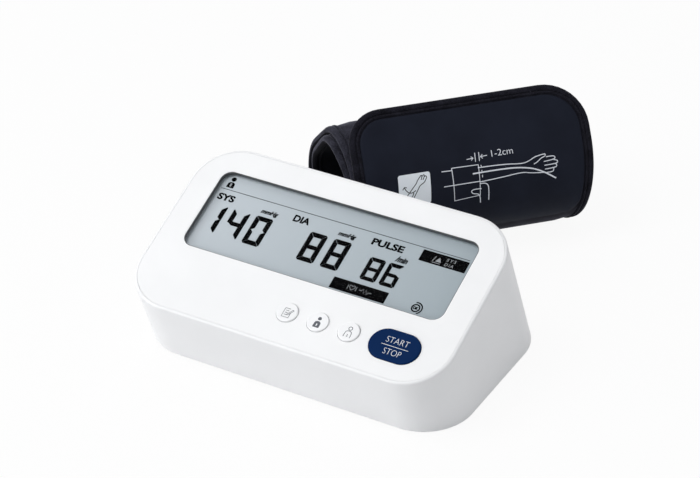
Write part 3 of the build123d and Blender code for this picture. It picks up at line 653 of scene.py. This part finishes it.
# display marks, in millimetres along X and up the slope, just above the display glass
marks = {
    "low": -3.58,
    "high": -3.50,
    "figures": [
        {
            "low": -0.3, "high": 18.7, "bar": 2.9,
            "places": [
                ("1", -77.0, -66.7), ("4", -62.8, -52.4), ("0", -48.7, -38.1),
                ("8", -14.7, -4.1), ("8", 0.0, 10.6),
            ],
        },
        {"low": -0.4, "high": 14.4, "bar": 2.35, "places": [("8", 24.1, 33.5), ("6", 35.6, 44.6)]},
    ],
    "words": [  # word, left, right, low, high, weight, slant
        ("SYS", -76.5, -66.0, 21.6, 26.0, 0.04, 0.0),
        ("DIA", -28.3, -18.3, 21.6, 26.0, 0.04, 0.0),
        ("PULSE", 20.0, 39.0, 21.6, 26.0, 0.04, 0.0),
        ("mmHg", -47.9, -37.3, 20.1, 23.7, 0.045, 0.25),
        ("mmHg", 0.0, 10.7, 20.5, 24.1, 0.045, 0.25),
        ("/min", 37.3, 44.4, 15.8, 19.6, 0.045, 0.25),
    ],
    "rule": (-77.2, 75.6, 28.85, 29.15),
    "bars": [(11.2, 44.0, -10.6, -3.5), (49.0, 76.0, 20.7, 27.9)],
    "barCorner": 0.3,
    "personHead": {"middle": (-73.1, 36.2), "radius": 1.45},
    "personBody": (-75.2, -70.9, 30.4, 34.2),
    "personCorners": [0.2, 0.2, 1.7, 1.7],
    "okRing": {"middle": (61.5, -7.4), "radius": 2.55, "width": 0.75},
    "okWord": (60.0, 63.0, -8.3, -6.5),
    "okWeight": 0.07,
    "okArc": {"near": 3.15, "far": 3.85, "step": 0.27, "steps": range(-4, 7)},
}
# the bars of a seven-bar figure: gap and corner cut in millimetres, the others as shares
figureBars = {
    "gap": 0.09,
    "cut": 0.9,
    "nose": 0.6,
    "slim": 0.9,
    "meeting": 0.6,
    "shoulder": 0.45,
    "lit": {"0": "abcdef", "1": "bc", "4": "bcfg", "6": "acdefg", "8": "abcdefg"},
}


def barPoints(bar, left, right, low, high, width):
    # one bar with slanted ends; the figure's own corners are cut
    gap, cut = figureBars["gap"], figureBars["cut"]
    middle = (low + high) / 2
    slim = width / 2 * figureBars["slim"]
    if bar in "ad":
        edge, inner = (high, high - width) if bar == "a" else (low, low + width)
        slant = edge + (cut / 2 if bar == "d" else -cut / 2)
        return [
            (left + gap + cut / 2, slant), (left + gap + cut, edge),
            (right - gap - cut, edge), (right - gap - cut / 2, slant),
            (right - gap - width, inner), (left + gap + width, inner),
        ]
    if bar == "g":
        nose = width / 2 * figureBars["nose"]
        return [
            (left + gap + nose, middle), (left + gap + width, middle + slim),
            (right - gap - width, middle + slim), (right - gap - nose, middle),
            (right - gap - width, middle - slim), (left + gap + width, middle - slim),
        ]
    edge, inner = (right, right - width) if bar in "bc" else (left, left + width)
    end, way = (high, 1) if bar in "bf" else (low, -1)
    meeting = middle + way * gap * figureBars["meeting"]
    return [
        (edge + (inner - edge) / width * cut / 2, end - way * (gap + cut / 2)),
        (edge, end - way * (gap + cut)),
        (edge, meeting), (edge + (inner - edge) * figureBars["shoulder"], meeting),
        (inner, middle + way * (gap + slim)), (inner, end - way * (gap + width)),
    ]


def makeDisplayMarks():
    bm = bmesh.new()
    low, high = marks["low"], marks["high"]
    for row in marks["figures"]:
        for figure, left, right in row["places"]:
            for bar in figureBars["lit"][figure]:
                points = barPoints(bar, left, right, row["low"], row["high"], row["bar"])
                addSlab(bm, points, [0.0] * len(points), low, high)
    for word, left, right, foot, head, weight, slant in marks["words"]:
        addWord(bm, word, left, right, foot, head, low, high - low, weight, slant)
    addSlab(bm, rectangle(*marks["rule"]), [0.0] * 4, low, high)
    for edges in marks["bars"]:
        addSlab(bm, rectangle(*edges), [marks["barCorner"]] * 4, low, high, 2)
    addDisc(bm, **marks["personHead"], low=low, high=high)
    addSlab(bm, rectangle(*marks["personBody"]), marks["personCorners"], low, high)
    addRing(bm, **marks["okRing"], low=low, high=high)
    addWord(bm, "OK", *marks["okWord"], low, high - low, marks["okWeight"])
    arc = marks["okArc"]
    for turn in arc["steps"]:
        around = [(turn + step) * arc["step"] for step in (0, 1)]
        points = [(arc["far"] * math.cos(a), arc["far"] * math.sin(a)) for a in around]
        points += [(arc["near"] * math.cos(a), arc["near"] * math.sin(a)) for a in reversed(around)]
        addSlab(bm, moved(points, marks["okRing"]["middle"]), [0.0] * 4, low, high)
    ontoFace(bm)
    finishPiece("displayMarks", bm, "inkBlack", "monitor")


# pale signs on the display's black bars, in millimetres; points are given from their sign's place
barSigns = {
    "rise": 0.03,
    "depth": 0.05,
    "line": 0.34,
    "thin": 0.3,
    "corner": 0.2,
    "beat": (23.6, -7.1),
    "heart": [
        (0, -1.5), (-1.6, 0.2), (-1.5, 1.3), (-0.7, 1.5), (0, 0.8),
        (0.7, 1.5), (1.5, 1.3), (1.6, 0.2), (0, -1.5),
    ],
    "heartSides": [[(-2.5, 1.4), (-2.5, -1.4)], [(2.5, 1.4), (2.5, -1.4)]],
    "trace": [(4.2, 0), (5.6, 0), (6.4, 1.4), (7.3, -1.5), (8.2, 1.4), (9.1, -1.5), (9.9, 0), (11.6, 0)],
    "pointer": (58.0, 24.1),
    "triangle": [(0, -1.4), (3.4, -1.4), (1.7, 1.5)],
    "pointerLines": [[(-1.6, -1.6), (-0.6, 1.7)], [(-1.6, -2.3), (3.2, -2.3)]],
    "words": [  # as above, and the letters' spacing
        ("1", -73.6, -72.6, 31.2, 33.4, 0.02, 0.0, 1.0),
        ("SYS", 63.6, 69.2, 24.6, 26.5, 0.0, 0.15, 1.35),
        ("DIA", 63.6, 68.8, 21.6, 23.5, 0.0, 0.15, 1.35),
    ],
}


def makeBarSigns():
    bm = bmesh.new()
    high = marks["high"] + barSigns["rise"]
    depth = barSigns["depth"]
    for points in [barSigns["heart"], *barSigns["heartSides"]]:
        addStroke(bm, moved(points, barSigns["beat"]), barSigns["thin"], high, depth)
    addStroke(bm, moved(barSigns["trace"], barSigns["beat"]), barSigns["line"], high, depth)
    triangle = moved(barSigns["triangle"], barSigns["pointer"])
    addSlab(bm, triangle, [barSigns["corner"]] * 3, high - depth, high, 2)
    for points in barSigns["pointerLines"]:
        addStroke(bm, moved(points, barSigns["pointer"]), barSigns["line"], high, depth)
    for word, left, right, foot, head, weight, slant, spacing in barSigns["words"]:
        addWord(bm, word, left, right, foot, head, high - depth, depth, weight, slant, spacing)
    ontoFace(bm)
    finishPiece("barSigns", bm, "signGrey", "monitor")


makeDisplayMarks()
makeBarSigns()
print("display marks made")

# the print on the keys, in millimetres; it stands a little above each cap
keyPrint = {
    "rise": 0.03,
    "depth": 0.06,
    "start": (57.9, 70.8, -33.5, -30.0),
    "stop": (59.4, 69.4, -40.5, -37.0),
    "weight": -0.019,
    "line": (56.5, 72.0, -35.4, -35.12),
    "lineCorner": 0.1,
}
printHigh = face["keyProud"] + keyPrint["rise"]
printLow = printHigh - keyPrint["depth"]


def makeStartPrint():
    bm = bmesh.new()
    for word in ("start", "stop"):
        addWord(bm, word.upper(), *keyPrint[word], printLow, keyPrint["depth"], keyPrint["weight"])
    addSlab(bm, rectangle(*keyPrint["line"]), [keyPrint["lineCorner"]] * 4, printLow, printHigh, 2)
    ontoFace(bm)
    finishPiece("startStopPrint", bm, "inkWhite", "start_stop_key")


# a note sheet with three lines and a pencil across its corner: widths, and points from the sign's place
memorySign = {
    "place": (0.35, -35.1),
    "lines": [
        (0.36, [(0.9, 2.7), (-2.2, 2.7), (-2.2, -2.7), (1.9, -2.7), (1.9, 0.2)]),
        (0.32, [(-1.4, 1.4), (0.6, 1.4)]),
        (0.32, [(-1.4, 0.1), (0.2, 0.1)]),
        (0.32, [(-1.4, -1.2), (0.7, -1.2)]),
        (0.34, [(0.1, -1.0), (2.5, 2.4)]),
        (0.34, [(0.7, -1.3), (3.1, 2.0), (2.5, 2.5)]),
    ],
}


def makeMemorySign():
    bm = bmesh.new()
    for width, points in memorySign["lines"]:
        addStroke(bm, moved(points, memorySign["place"]), width, printHigh, keyPrint["depth"])
    ontoFace(bm)
    finishPiece("memorySign", bm, "inkGrey", "memory_key")


# the two users' signs, in millimetres: the first filled, the second in outline, each with a number
userSigns = {
    "firstHead": {"middle": (18.8, -32.6), "radius": 1.05},
    "firstBody": (17.0, 20.6, -38.2, -34.2),
    "corners": [0.2, 0.2, 1.6, 1.6],
    "one": (18.5, 19.1, -37.3, -35.8),
    "oneDepth": 0.03,
    "secondHead": {"middle": (37.2, -32.7), "radius": 1.2, "width": 0.36},
    "secondBody": [(35.3, -38.2), (35.3, -35.7), (36.0, -34.3), (38.4, -34.3), (39.1, -35.7), (39.1, -38.2)],
    "line": 0.36,
    "two": (36.75, 37.65, -37.8, -36.3),
    "weight": 0.01,
}


def makeUserSigns():
    bm = bmesh.new()
    addDisc(bm, **userSigns["firstHead"], low=printLow, high=printHigh)
    addSlab(bm, rectangle(*userSigns["firstBody"]), userSigns["corners"], printLow, printHigh, 6)
    ontoFace(bm)
    finishPiece("firstUserSign", bm, "inkGrey", "user_one_key")
    bm = bmesh.new()
    addWord(bm, "1", *userSigns["one"], printHigh, userSigns["oneDepth"], userSigns["weight"])
    ontoFace(bm)
    finishPiece("firstUserNumber", bm, "inkWhite", "user_one_key")
    bm = bmesh.new()
    addRing(bm, **userSigns["secondHead"], low=printLow, high=printHigh)
    addStroke(bm, userSigns["secondBody"], userSigns["line"], printHigh, keyPrint["depth"], True)
    addWord(bm, "2", *userSigns["two"], printLow, keyPrint["depth"], userSigns["weight"])
    ontoFace(bm)
    finishPiece("secondUserSign", bm, "inkGrey", "user_two_key")


makeStartPrint()
makeMemorySign()
makeUserSigns()
print("key print made")

# the wrap's sewn rim: each step goes inwards by so much and up by so much, from half the thickness
rim = {
    "steps": [
        (0.16, 0.85), (0.42, 0.75), (0.75, 0.45), (1.0, 0.2), (0.75, -0.1), (0.35, -0.55), (0.3, -0.05),
        (0.35, 0.62), (0.55, 0.18), (0.5, -0.2), (0.3, -0.6),
    ],
    "width": 5.43,
    "puff": 0.9,
    "puffReach": 9.0,
    "cuts": (7.0, 2.4),  # spacing along the roll and round it
}


def edgeRoom(x, y, left, right, low, high):
    # how far a place lies from a rectangle's nearest edge
    return min(x - left, right - x, y - low, high - y)


def flatFace(bm, edges, corners, height):
    # a rounded rectangle that looks up
    faces = addOutline(bm, rectangle(*edges), corners, roundSteps)
    for vert in bm.verts:
        vert.co.z = height
    if faces[0].normal.z < 0:
        bmesh.ops.reverse_faces(bm, faces=faces)
    bm.normal_update()
    return faces


def paddedStrip(bm, low, high, corners):
    # a flat padded strip with the same sewn rim on both faces, cut finely enough to be rolled
    edges = (0, cuff["width"], low, high)
    inner = flatFace(bm, edges, corners, -cuff["thickness"] / 2)
    for inset, lift in rim["steps"]:
        insetFaces(bm, inner, inset, lift)
    cutAcross(bm, 1, low, high, rim["cuts"][1])
    cutAcross(bm, 0, 0, cuff["width"], rim["cuts"][0])
    for vert in bm.verts:
        room = edgeRoom(vert.co.x, vert.co.y, *edges) - rim["width"]
        vert.co.z += rim["puff"] * eased(clamped(room / rim["puffReach"]))
    made = bmesh.ops.duplicate(bm, geom=bm.verts[:] + bm.edges[:] + bm.faces[:])["geom"]
    for part in made:
        if isinstance(part, bmesh.types.BMVert):
            part.co.z = -cuff["thickness"] - part.co.z
    bmesh.ops.reverse_faces(bm, faces=[f for f in made if isinstance(f, bmesh.types.BMFace)])
    bmesh.ops.remove_doubles(bm, verts=bm.verts, dist=weld["flat"])


def keepFlat(bm):
    # the flat cloth's own coordinates, in metres, for the weave
    layer = bm.loops.layers.uv.new("flatCloth")
    for patch in bm.faces:
        for loop in patch.loops:
            loop[layer].uv = (loop.vert.co.x * mm, loop.vert.co.y * mm)


# the front piece meets the wound one under the roll, this far below its middle height
joinTurn = 84.0
frontFoot = -math.radians(cuff["lean"] + joinTurn) * cuff["frontRadius"]


def makeFrontWrap():
    bm = bmesh.new()
    paddedStrip(bm, frontFoot, cuff["flapLength"], [0.0, 0.0, cuff["cornerRight"], cuff["cornerLeft"]])
    keepFlat(bm)
    ontoRoll(bm)
    piece = finishPiece("frontWrap", bm, "rimFelt", sharp=60)
    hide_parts("cuff_flap", "flap_binding")


def makeWoundWrap():
    bm = bmesh.new()
    paddedStrip(bm, -courseLength, frontFoot, [cuff["tailCorner"], cuff["tailCorner"], 0.0, 0.0])
    keepFlat(bm)
    # the inner faces take the lining, whose dark colour also paints the hollow's shade
    inside = -cuff["thickness"] * cuff["liningShare"]
    for patch in bm.faces:
        patch.material_index = int(max(v.co.z for v in patch.verts) < inside)
    ontoRoll(bm)
    piece = finishPiece("woundWrap", bm, "feltDark", "cuff", sharp=60)
    piece.data.materials.append(materials["liningAndShadeBlack"])
    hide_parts("cuff_cover", "cuff_lining", "cuff_binding")


makeFrontWrap()
makeWoundWrap()
print("wrap made")

# the printed panel that is sewn on the outside, in millimetres along the roll and up from the hinge
panelSheet = {
    "inset": 6.0,
    "foot": -50.6,
    "corners": [13.0, 13.0, 20.2, 14.2],
    "under": -0.9,
    "steps": [(0.15, 0.45), (0.35, 0.3), (0.6, 0.12)],
    "puff": 0.35,
    "puffReach": 12.0,
    "raised": 0.1,  # what stands higher over the underside is padded
    "cuts": (6.0, 1.0),  # spacing along the roll and round it
    "areaShare": 0.985,  # what the rounded corners leave
}
panelEdges = (
    panelSheet["inset"], cuff["width"] - panelSheet["inset"],
    panelSheet["foot"], cuff["flapLength"] - panelSheet["inset"],
)
panelRim, panelLift = (sum(values) for values in zip(*panelSheet["steps"]))


def panelPuff(x, y):
    # how much the padding lifts the panel at a place
    share = clamped((edgeRoom(x, y, *panelEdges) - panelRim) / panelSheet["puffReach"])
    return panelSheet["puff"] * share * (2 - share)


def cutLikePanel(bm):
    # the printed panel and all that lies on it have the same cuts, so they bend as one
    cutAcross(bm, 1, *panelEdges[2:], panelSheet["cuts"][1])


def liftToPanel(bm, proud=0.0):
    # stands what lies flat on the outer face of the printed panel
    for vert in bm.verts:
        vert.co.z += panelSheet["under"] + panelLift + panelPuff(vert.co.x, vert.co.y) + proud


def makePrintedPanel():
    bm = bmesh.new()
    left, right, low, high = panelEdges
    inner = flatFace(bm, panelEdges, panelSheet["corners"], panelSheet["under"])
    base = bmesh.ops.duplicate(bm, geom=inner)["geom"]
    bmesh.ops.reverse_faces(bm, faces=[f for f in base if isinstance(f, bmesh.types.BMFace)])
    for inset, lift in panelSheet["steps"]:
        insetFaces(bm, inner, inset, lift)
    bmesh.ops.remove_doubles(bm, verts=bm.verts, dist=weld["flat"])
    cutLikePanel(bm)
    cutAcross(bm, 0, left, right, panelSheet["cuts"][0])
    for vert in bm.verts:
        if vert.co.z > panelSheet["under"] + panelSheet["raised"]:
            vert.co.z += panelPuff(vert.co.x, vert.co.y)
    keepFlat(bm)
    ontoRoll(bm)
    piece = finishPiece("printedPanel", bm, "printCloth", sharp=50)


# the fitting diagram on the panel: an arm, the band round it and the gap to the elbow
diagram = {
    "line": 0.52,
    "thin": 0.42,
    "tubeWidth": 0.78,
    "depth": 0.1,
    "weight": -0.008,
    "lines": [
        [(55.6, -4.9), (71.2, -5.2), (71.8, -22.8), (56.8, -23.9), (55.6, -4.9)],
        [(49.6, -6.0), (55.8, -6.2)],
        [(50.4, -14.6), (56.2, -14.6), (71.4, -14.6)],
    ],
    "curves": [
        [(70.8, -6.9), (85.0, -7.0), (97.0, -8.6), (101.0, -7.6), (105.2, -5.4), (110.6, -5.0)],
        [(71.4, -15.0), (84.0, -14.4), (97.0, -13.2), (101.6, -14.6), (109.6, -15.4)],
        [(110.6, -5.0), (111.2, -6.2), (108.0, -7.0), (105.8, -9.0), (103.6, -9.8)],
        [(111.0, -6.8), (115.4, -6.6), (116.6, -7.8), (115.4, -9.0), (109.6, -9.2)],
        [(115.4, -9.0), (117.6, -9.4), (117.8, -10.8), (116.4, -11.4), (109.8, -11.4)],
        [(116.4, -11.4), (117.4, -12.2), (116.6, -13.6), (110.0, -13.6)],
        [(115.2, -13.6), (115.4, -15.2), (113.6, -15.8), (110.0, -15.6)],
        [(71.4, -16.0), (74.4, -15.8), (76.4, -17.4), (76.8, -20.4), (77.0, -26.6)],
        [
            (72.2, -27.6), (72.0, -24.6), (71.0, -21.8), (67.4, -21.4),
            (66.2, -19.6), (68.2, -18.6), (72.4, -19.0),
        ],
    ],
    "tube": [(67.6, -9.8), (81.0, -9.6), (96.0, -10.2), (108.0, -13.6), (116.6, -19.8)],
    "marks": [
        [(64.9, -1.4), (68.8, -1.2)], [(67.5, -0.2), (68.8, -1.2), (67.5, -2.3)],
        [(73.0, -1.0), (77.0, -0.8)], [(74.3, 0.1), (73.0, -1.0), (74.3, -2.1)],
        [(70.1, 1.6), (69.9, -3.4)], [(72.4, 1.7), (72.2, -3.3)],
        [(72.8, -5.6), (72.9, -6.6)], [(73.0, -8.4), (73.0, -9.2)], [(73.1, -11.2), (73.2, -12.6)],
    ],
    "word": ("1-2cm", 79.6, 92.2, -2.0, 1.7),
}


def makeDiagram():
    bm = bmesh.new()
    depth = diagram["depth"]
    for points in diagram["lines"] + diagram["curves"]:
        addStroke(bm, points, diagram["line"], 0, depth, points in diagram["curves"])
    addStroke(bm, diagram["tube"], diagram["tubeWidth"], 0, depth, True)
    for points in diagram["marks"]:
        addStroke(bm, points, diagram["thin"], 0, depth)
    addWord(bm, *diagram["word"], -depth / 2, depth, diagram["weight"])
    cutLikePanel(bm)
    liftToPanel(bm)
    ontoRoll(bm)
    finishPiece("fittingDiagram", bm, "printSilver", sharp=50)


makePrintedPanel()
makeDiagram()
print("printed panel made")

# the care tag, and its drawing: an arm held out with its palm open, and an arrow that goes round it
tag = {
    "left": 24.2,
    "right": 42.8,
    "low": -22.5,
    "high": -4.5,
    "corner": 1.4,
    "under": 0.02,
    "thickness": 0.3,
    "cut": 4.5,
    "line": 0.5,
    "lineDepth": 0.08,
    "curves": [
        [(7.2, 2.0), (9.4, 6.0), (11.2, 9.0), (12.2, 10.8), (13.6, 11.6), (15.4, 12.6), (16.4, 14.8)],
        [(3.0, 4.0), (6.0, 7.6), (8.4, 10.4), (10.4, 12.4), (11.0, 14.0), (12.6, 15.6)],
        [(12.6, 15.6), (13.4, 16.8), (14.0, 15.6), (13.2, 14.0)],
        [(13.8, 15.6), (15.0, 17.0), (15.4, 15.6), (14.2, 13.8)],
        [(15.2, 15.4), (16.4, 16.4), (16.4, 14.8)],
        [(3.2, 11.0), (4.4, 8.4), (7.6, 7.0), (9.8, 8.6)],
        [(5.4, 3.0), (7.6, 4.6), (8.6, 7.4)],
    ],
    "arrow": [(2.2, 9.8), (3.2, 11.2), (4.6, 10.8)],
}


def makeTag():
    bm = bmesh.new()
    left, right, low, high = (tag[key] for key in ("left", "right", "low", "high"))
    addSlab(bm, rectangle(left, right, low, high), [tag["corner"]] * 4, tag["under"], tag["thickness"], 5)
    cutLikePanel(bm)
    cutAcross(bm, 0, left, right, tag["cut"])
    liftToPanel(bm)
    keepFlat(bm)
    ontoRoll(bm)
    piece = finishPiece("careTag", bm, "tagGrey", sharp=50)
    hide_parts("care_tag")
    bm = bmesh.new()
    for points in tag["curves"] + [tag["arrow"]]:
        smooth = points in tag["curves"]
        addStroke(bm, moved(points, (left, low)), tag["line"], 0, tag["lineDepth"], smooth)
    cutLikePanel(bm)
    liftToPanel(bm, tag["thickness"])
    ontoRoll(bm)
    finishPiece("tagDrawing", bm, "inkDark", sharp=50)


makeTag()
print("care tag made")

# the hook fastener on the flap's inner side; every second row of hooks is half a pitch further along
hooks = {
    "left": 26.0,
    "right": 114.0,
    "low": 9.0,
    "high": 25.5,
    "corner": 2.0,
    "thickness": 0.9,
    "under": 0.3,
    "pitch": 2.6,
    "first": (2.6, 2.0),  # the first hook's place from the left and the low edge
    "bare": (4.0, 3.0),  # room without hooks, along and up
    "radius": 0.28,
    "narrow": 0.14,  # radius at the pad
    "height": 0.8,
    "sunk": 0.05,
}


def makeHookPad():
    inside = -cuff["thickness"] - hooks["under"]
    bm = bmesh.new()
    outline = rectangle(hooks["left"], hooks["right"], hooks["low"], hooks["high"])
    addSlab(bm, outline, [hooks["corner"]] * 4, inside, inside + hooks["thickness"], 5)
    keepFlat(bm)
    ontoRoll(bm)
    piece = finishPiece("hookPad", bm, "tapeBlack", "cuff_flap")
    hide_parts("hook_pad")
    bm = bmesh.new()
    turn = Matrix.Rotation(math.pi, 3, "X")
    for i in range(int((hooks["right"] - hooks["left"] - hooks["bare"][0]) / hooks["pitch"])):
        for j in range(int((hooks["high"] - hooks["low"] - hooks["bare"][1]) / hooks["pitch"])):
            made = bmesh.ops.create_cone(
                bm, cap_ends=True, segments=5,
                radius1=hooks["narrow"], radius2=hooks["radius"], depth=hooks["height"],
            )["verts"]
            x = hooks["left"] + hooks["first"][0] + (i + 0.5 * (j % 2)) * hooks["pitch"]
            y = hooks["low"] + hooks["first"][1] + j * hooks["pitch"]
            bmesh.ops.rotate(bm, verts=made, cent=(0, 0, 0), matrix=turn)
            bmesh.ops.translate(bm, verts=made, vec=(x, y, inside - hooks["height"] / 2 + hooks["sunk"]))
    ontoRoll(bm)
    finishPiece("hookRows", bm, "hookBlack", "cuff_flap")


makeHookPad()
print("hook pad made")

# the seam's stitches, which lie in the groove of the front piece's rim
stitch = {"inset": 3.85, "below": 30.0, "pitch": 2.6, "length": 1.7, "radius": 0.2, "height": -0.78}


def makeStitches():
    bm = bmesh.new()
    left, right = stitch["inset"], cuff["width"] - stitch["inset"]
    high = cuff["flapLength"] - stitch["inset"]
    turnLeft, turnRight = cuff["cornerLeft"] - stitch["inset"], cuff["cornerRight"] - stitch["inset"]
    foot = -math.radians(cuff["lean"]) * cuff["frontRadius"] - stitch["below"]
    layDown = Matrix.Rotation(math.pi / 2, 3, "Y")
    runs = [
        ("line", (left, foot), (left, high - turnLeft)),
        ("arc", (left + turnLeft, high - turnLeft), turnLeft, math.pi),
        ("line", (left + turnLeft, high), (right - turnRight, high)),
        ("arc", (right - turnRight, high - turnRight), turnRight, math.pi / 2),
        ("line", (right, high - turnRight), (right, foot)),
    ]
    for kind, a, b, *rest in runs:
        length = (Vector(b) - Vector(a)).length if kind == "line" else b * math.pi / 2
        count = int(length / stitch["pitch"])
        for i in range(count):
            share = (i + 0.5) / count
            if kind == "line":
                spot = Vector(a).lerp(Vector(b), share)
                angle = math.atan2(b[1] - a[1], b[0] - a[0])
            else:
                around = rest[0] - share * math.pi / 2
                spot = Vector(a) + Vector((math.cos(around), math.sin(around))) * b
                angle = around - math.pi / 2
            made = bmesh.ops.create_uvsphere(
                bm, u_segments=6, v_segments=4, radius=stitch["radius"]
            )["verts"]
            bmesh.ops.rotate(bm, verts=made, cent=(0, 0, 0), matrix=layDown)
            bmesh.ops.scale(bm, verts=made, vec=(stitch["length"] / 2 / stitch["radius"], 1, 1))
            bmesh.ops.rotate(bm, verts=made, cent=(0, 0, 0), matrix=Matrix.Rotation(angle, 3, "Z"))
            bmesh.ops.translate(bm, verts=made, vec=(*spot, stitch["height"]))
    ontoRoll(bm)
    finishPiece("rimStitches", bm, "threadBlack", sharp=80)


makeStitches()
print("stitches made")

# the set: pale floor, soft lights, camera
studio = {
    "floorSize": 6.0,
    "floorDrop": 0.0002,
    "floorShare": 0.93,
    "floorGlow": 1.0,
    "aim": (0, -0.02, 0.04),
    "world": 0.36,
    "tint": (0.955, 0.97, 1.0),
    "lights": [  # name, place, diameter, power
        ("keyLight", (-0.45, -0.75, 1.55), 1.0, 13.6),
        ("fillLight", (-1.2, -1.3, 0.5), 1.0, 9.5),
        ("sideLight", (1.35, 0.45, 0.75), 1.0, 2.2),
        ("rimLight", (-0.8, 0.8, 1.4), 0.9, 3.0),
    ],
}


def seenPlainly(tree):
    # one for rays from the camera, off a shiny surface or through a clear one
    path = tree.nodes.new("ShaderNodeLightPath")
    total = path.outputs["Is Camera Ray"]
    for way in ("Is Glossy Ray", "Is Transmission Ray"):
        total = calculate(tree, "MAXIMUM", total, path.outputs[way])
    return total


def makeFloor():
    bm = bmesh.new()
    bmesh.ops.create_grid(bm, x_segments=1, y_segments=1, size=studio["floorSize"] / 2)
    mesh = bpy.data.meshes.new("floor")
    bm.to_mesh(mesh)
    bm.free()
    floor = addObject("floor", mesh)
    floor.location.z = -studio["floorDrop"]
    material, tree, shader = newMaterial("floorPale")
    fill(shader, {"Base Color": (0.86, 0.86, 0.86, 1), "Roughness": 0.9})
    glow = addNode(tree, "Emission", {"Color": (1, 1, 1, 1), "Strength": studio["floorGlow"]})
    share = calculate(tree, "MULTIPLY", seenPlainly(tree), studio["floorShare"])
    mix = addNode(tree, "MixShader", {"Fac": share, 1: shader.outputs["BSDF"], 2: glow.outputs["Emission"]})
    fill(tree.nodes["Material Output"], {"Surface": mix.outputs["Shader"]})
    mesh.materials.append(material)


def makeLights():
    for name, place, size, power in studio["lights"]:
        lamp = bpy.data.lights.new(name, "AREA")
        lamp.shape = "DISK"
        lamp.size = size
        lamp.energy = power
        holder = addObject(name, lamp)
        holder.location = place
        holder.rotation_euler = (Vector(place) - Vector(studio["aim"])).to_track_quat("Z", "Y").to_euler()
    world = bpy.data.worlds.new("studioWorld")
    world.use_nodes = True
    bpy.context.scene.world = world
    tree = world.node_tree
    plainly = seenPlainly(tree)
    fill(tree.nodes["Background"], {
        "Color": colourBetween(tree, plainly, studio["tint"], (1, 1, 1), 0.0, 1.0),
        "Strength": valueBetween(tree, plainly, studio["world"], 1.0, 0.0, 1.0),
    })


# the camera: angles in degrees, lens in millimetres, and metres from a point over the middle of the face
view = {
    "azimuth": 31.205,
    "elevation": 34.438,
    "roll": -1.612,
    "distance": 1.2472,
    "targetHeight": 0.040,
    "lens": 120.55,
    "sensor": 36.0,
    "shift": (0.0447, 0.080),
    "clip": (0.05, 20.0),
}


def makeCamera():
    azimuth, elevation, roll = (math.radians(view[key]) for key in ("azimuth", "elevation", "roll"))
    flat = math.cos(elevation)
    back = Vector((math.sin(azimuth) * flat, -math.cos(azimuth) * flat, math.sin(elevation)))
    right = (-back).cross(Vector((0, 0, 1))).normalized()
    up = right.cross(-back)
    turnedRight = right * math.cos(roll) + up * math.sin(roll)
    turnedUp = up * math.cos(roll) - right * math.sin(roll)
    lens = bpy.data.cameras.new("camera")
    lens.lens = view["lens"]
    lens.sensor_width = view["sensor"]
    lens.shift_x, lens.shift_y = view["shift"]
    lens.clip_start, lens.clip_end = view["clip"]
    camera = addObject("camera", lens)
    target = Vector((0, faceMiddle.y, view["targetHeight"]))
    turn = Matrix((turnedRight, turnedUp, back)).transposed().to_4x4()
    camera.matrix_world = Matrix.Translation(target + back * view["distance"]) @ turn
    bpy.context.scene.camera = camera


makeFloor()
makeLights()
makeCamera()
bpy.context.scene.view_settings.view_transform = "Standard"
print("floor, lights and camera made")
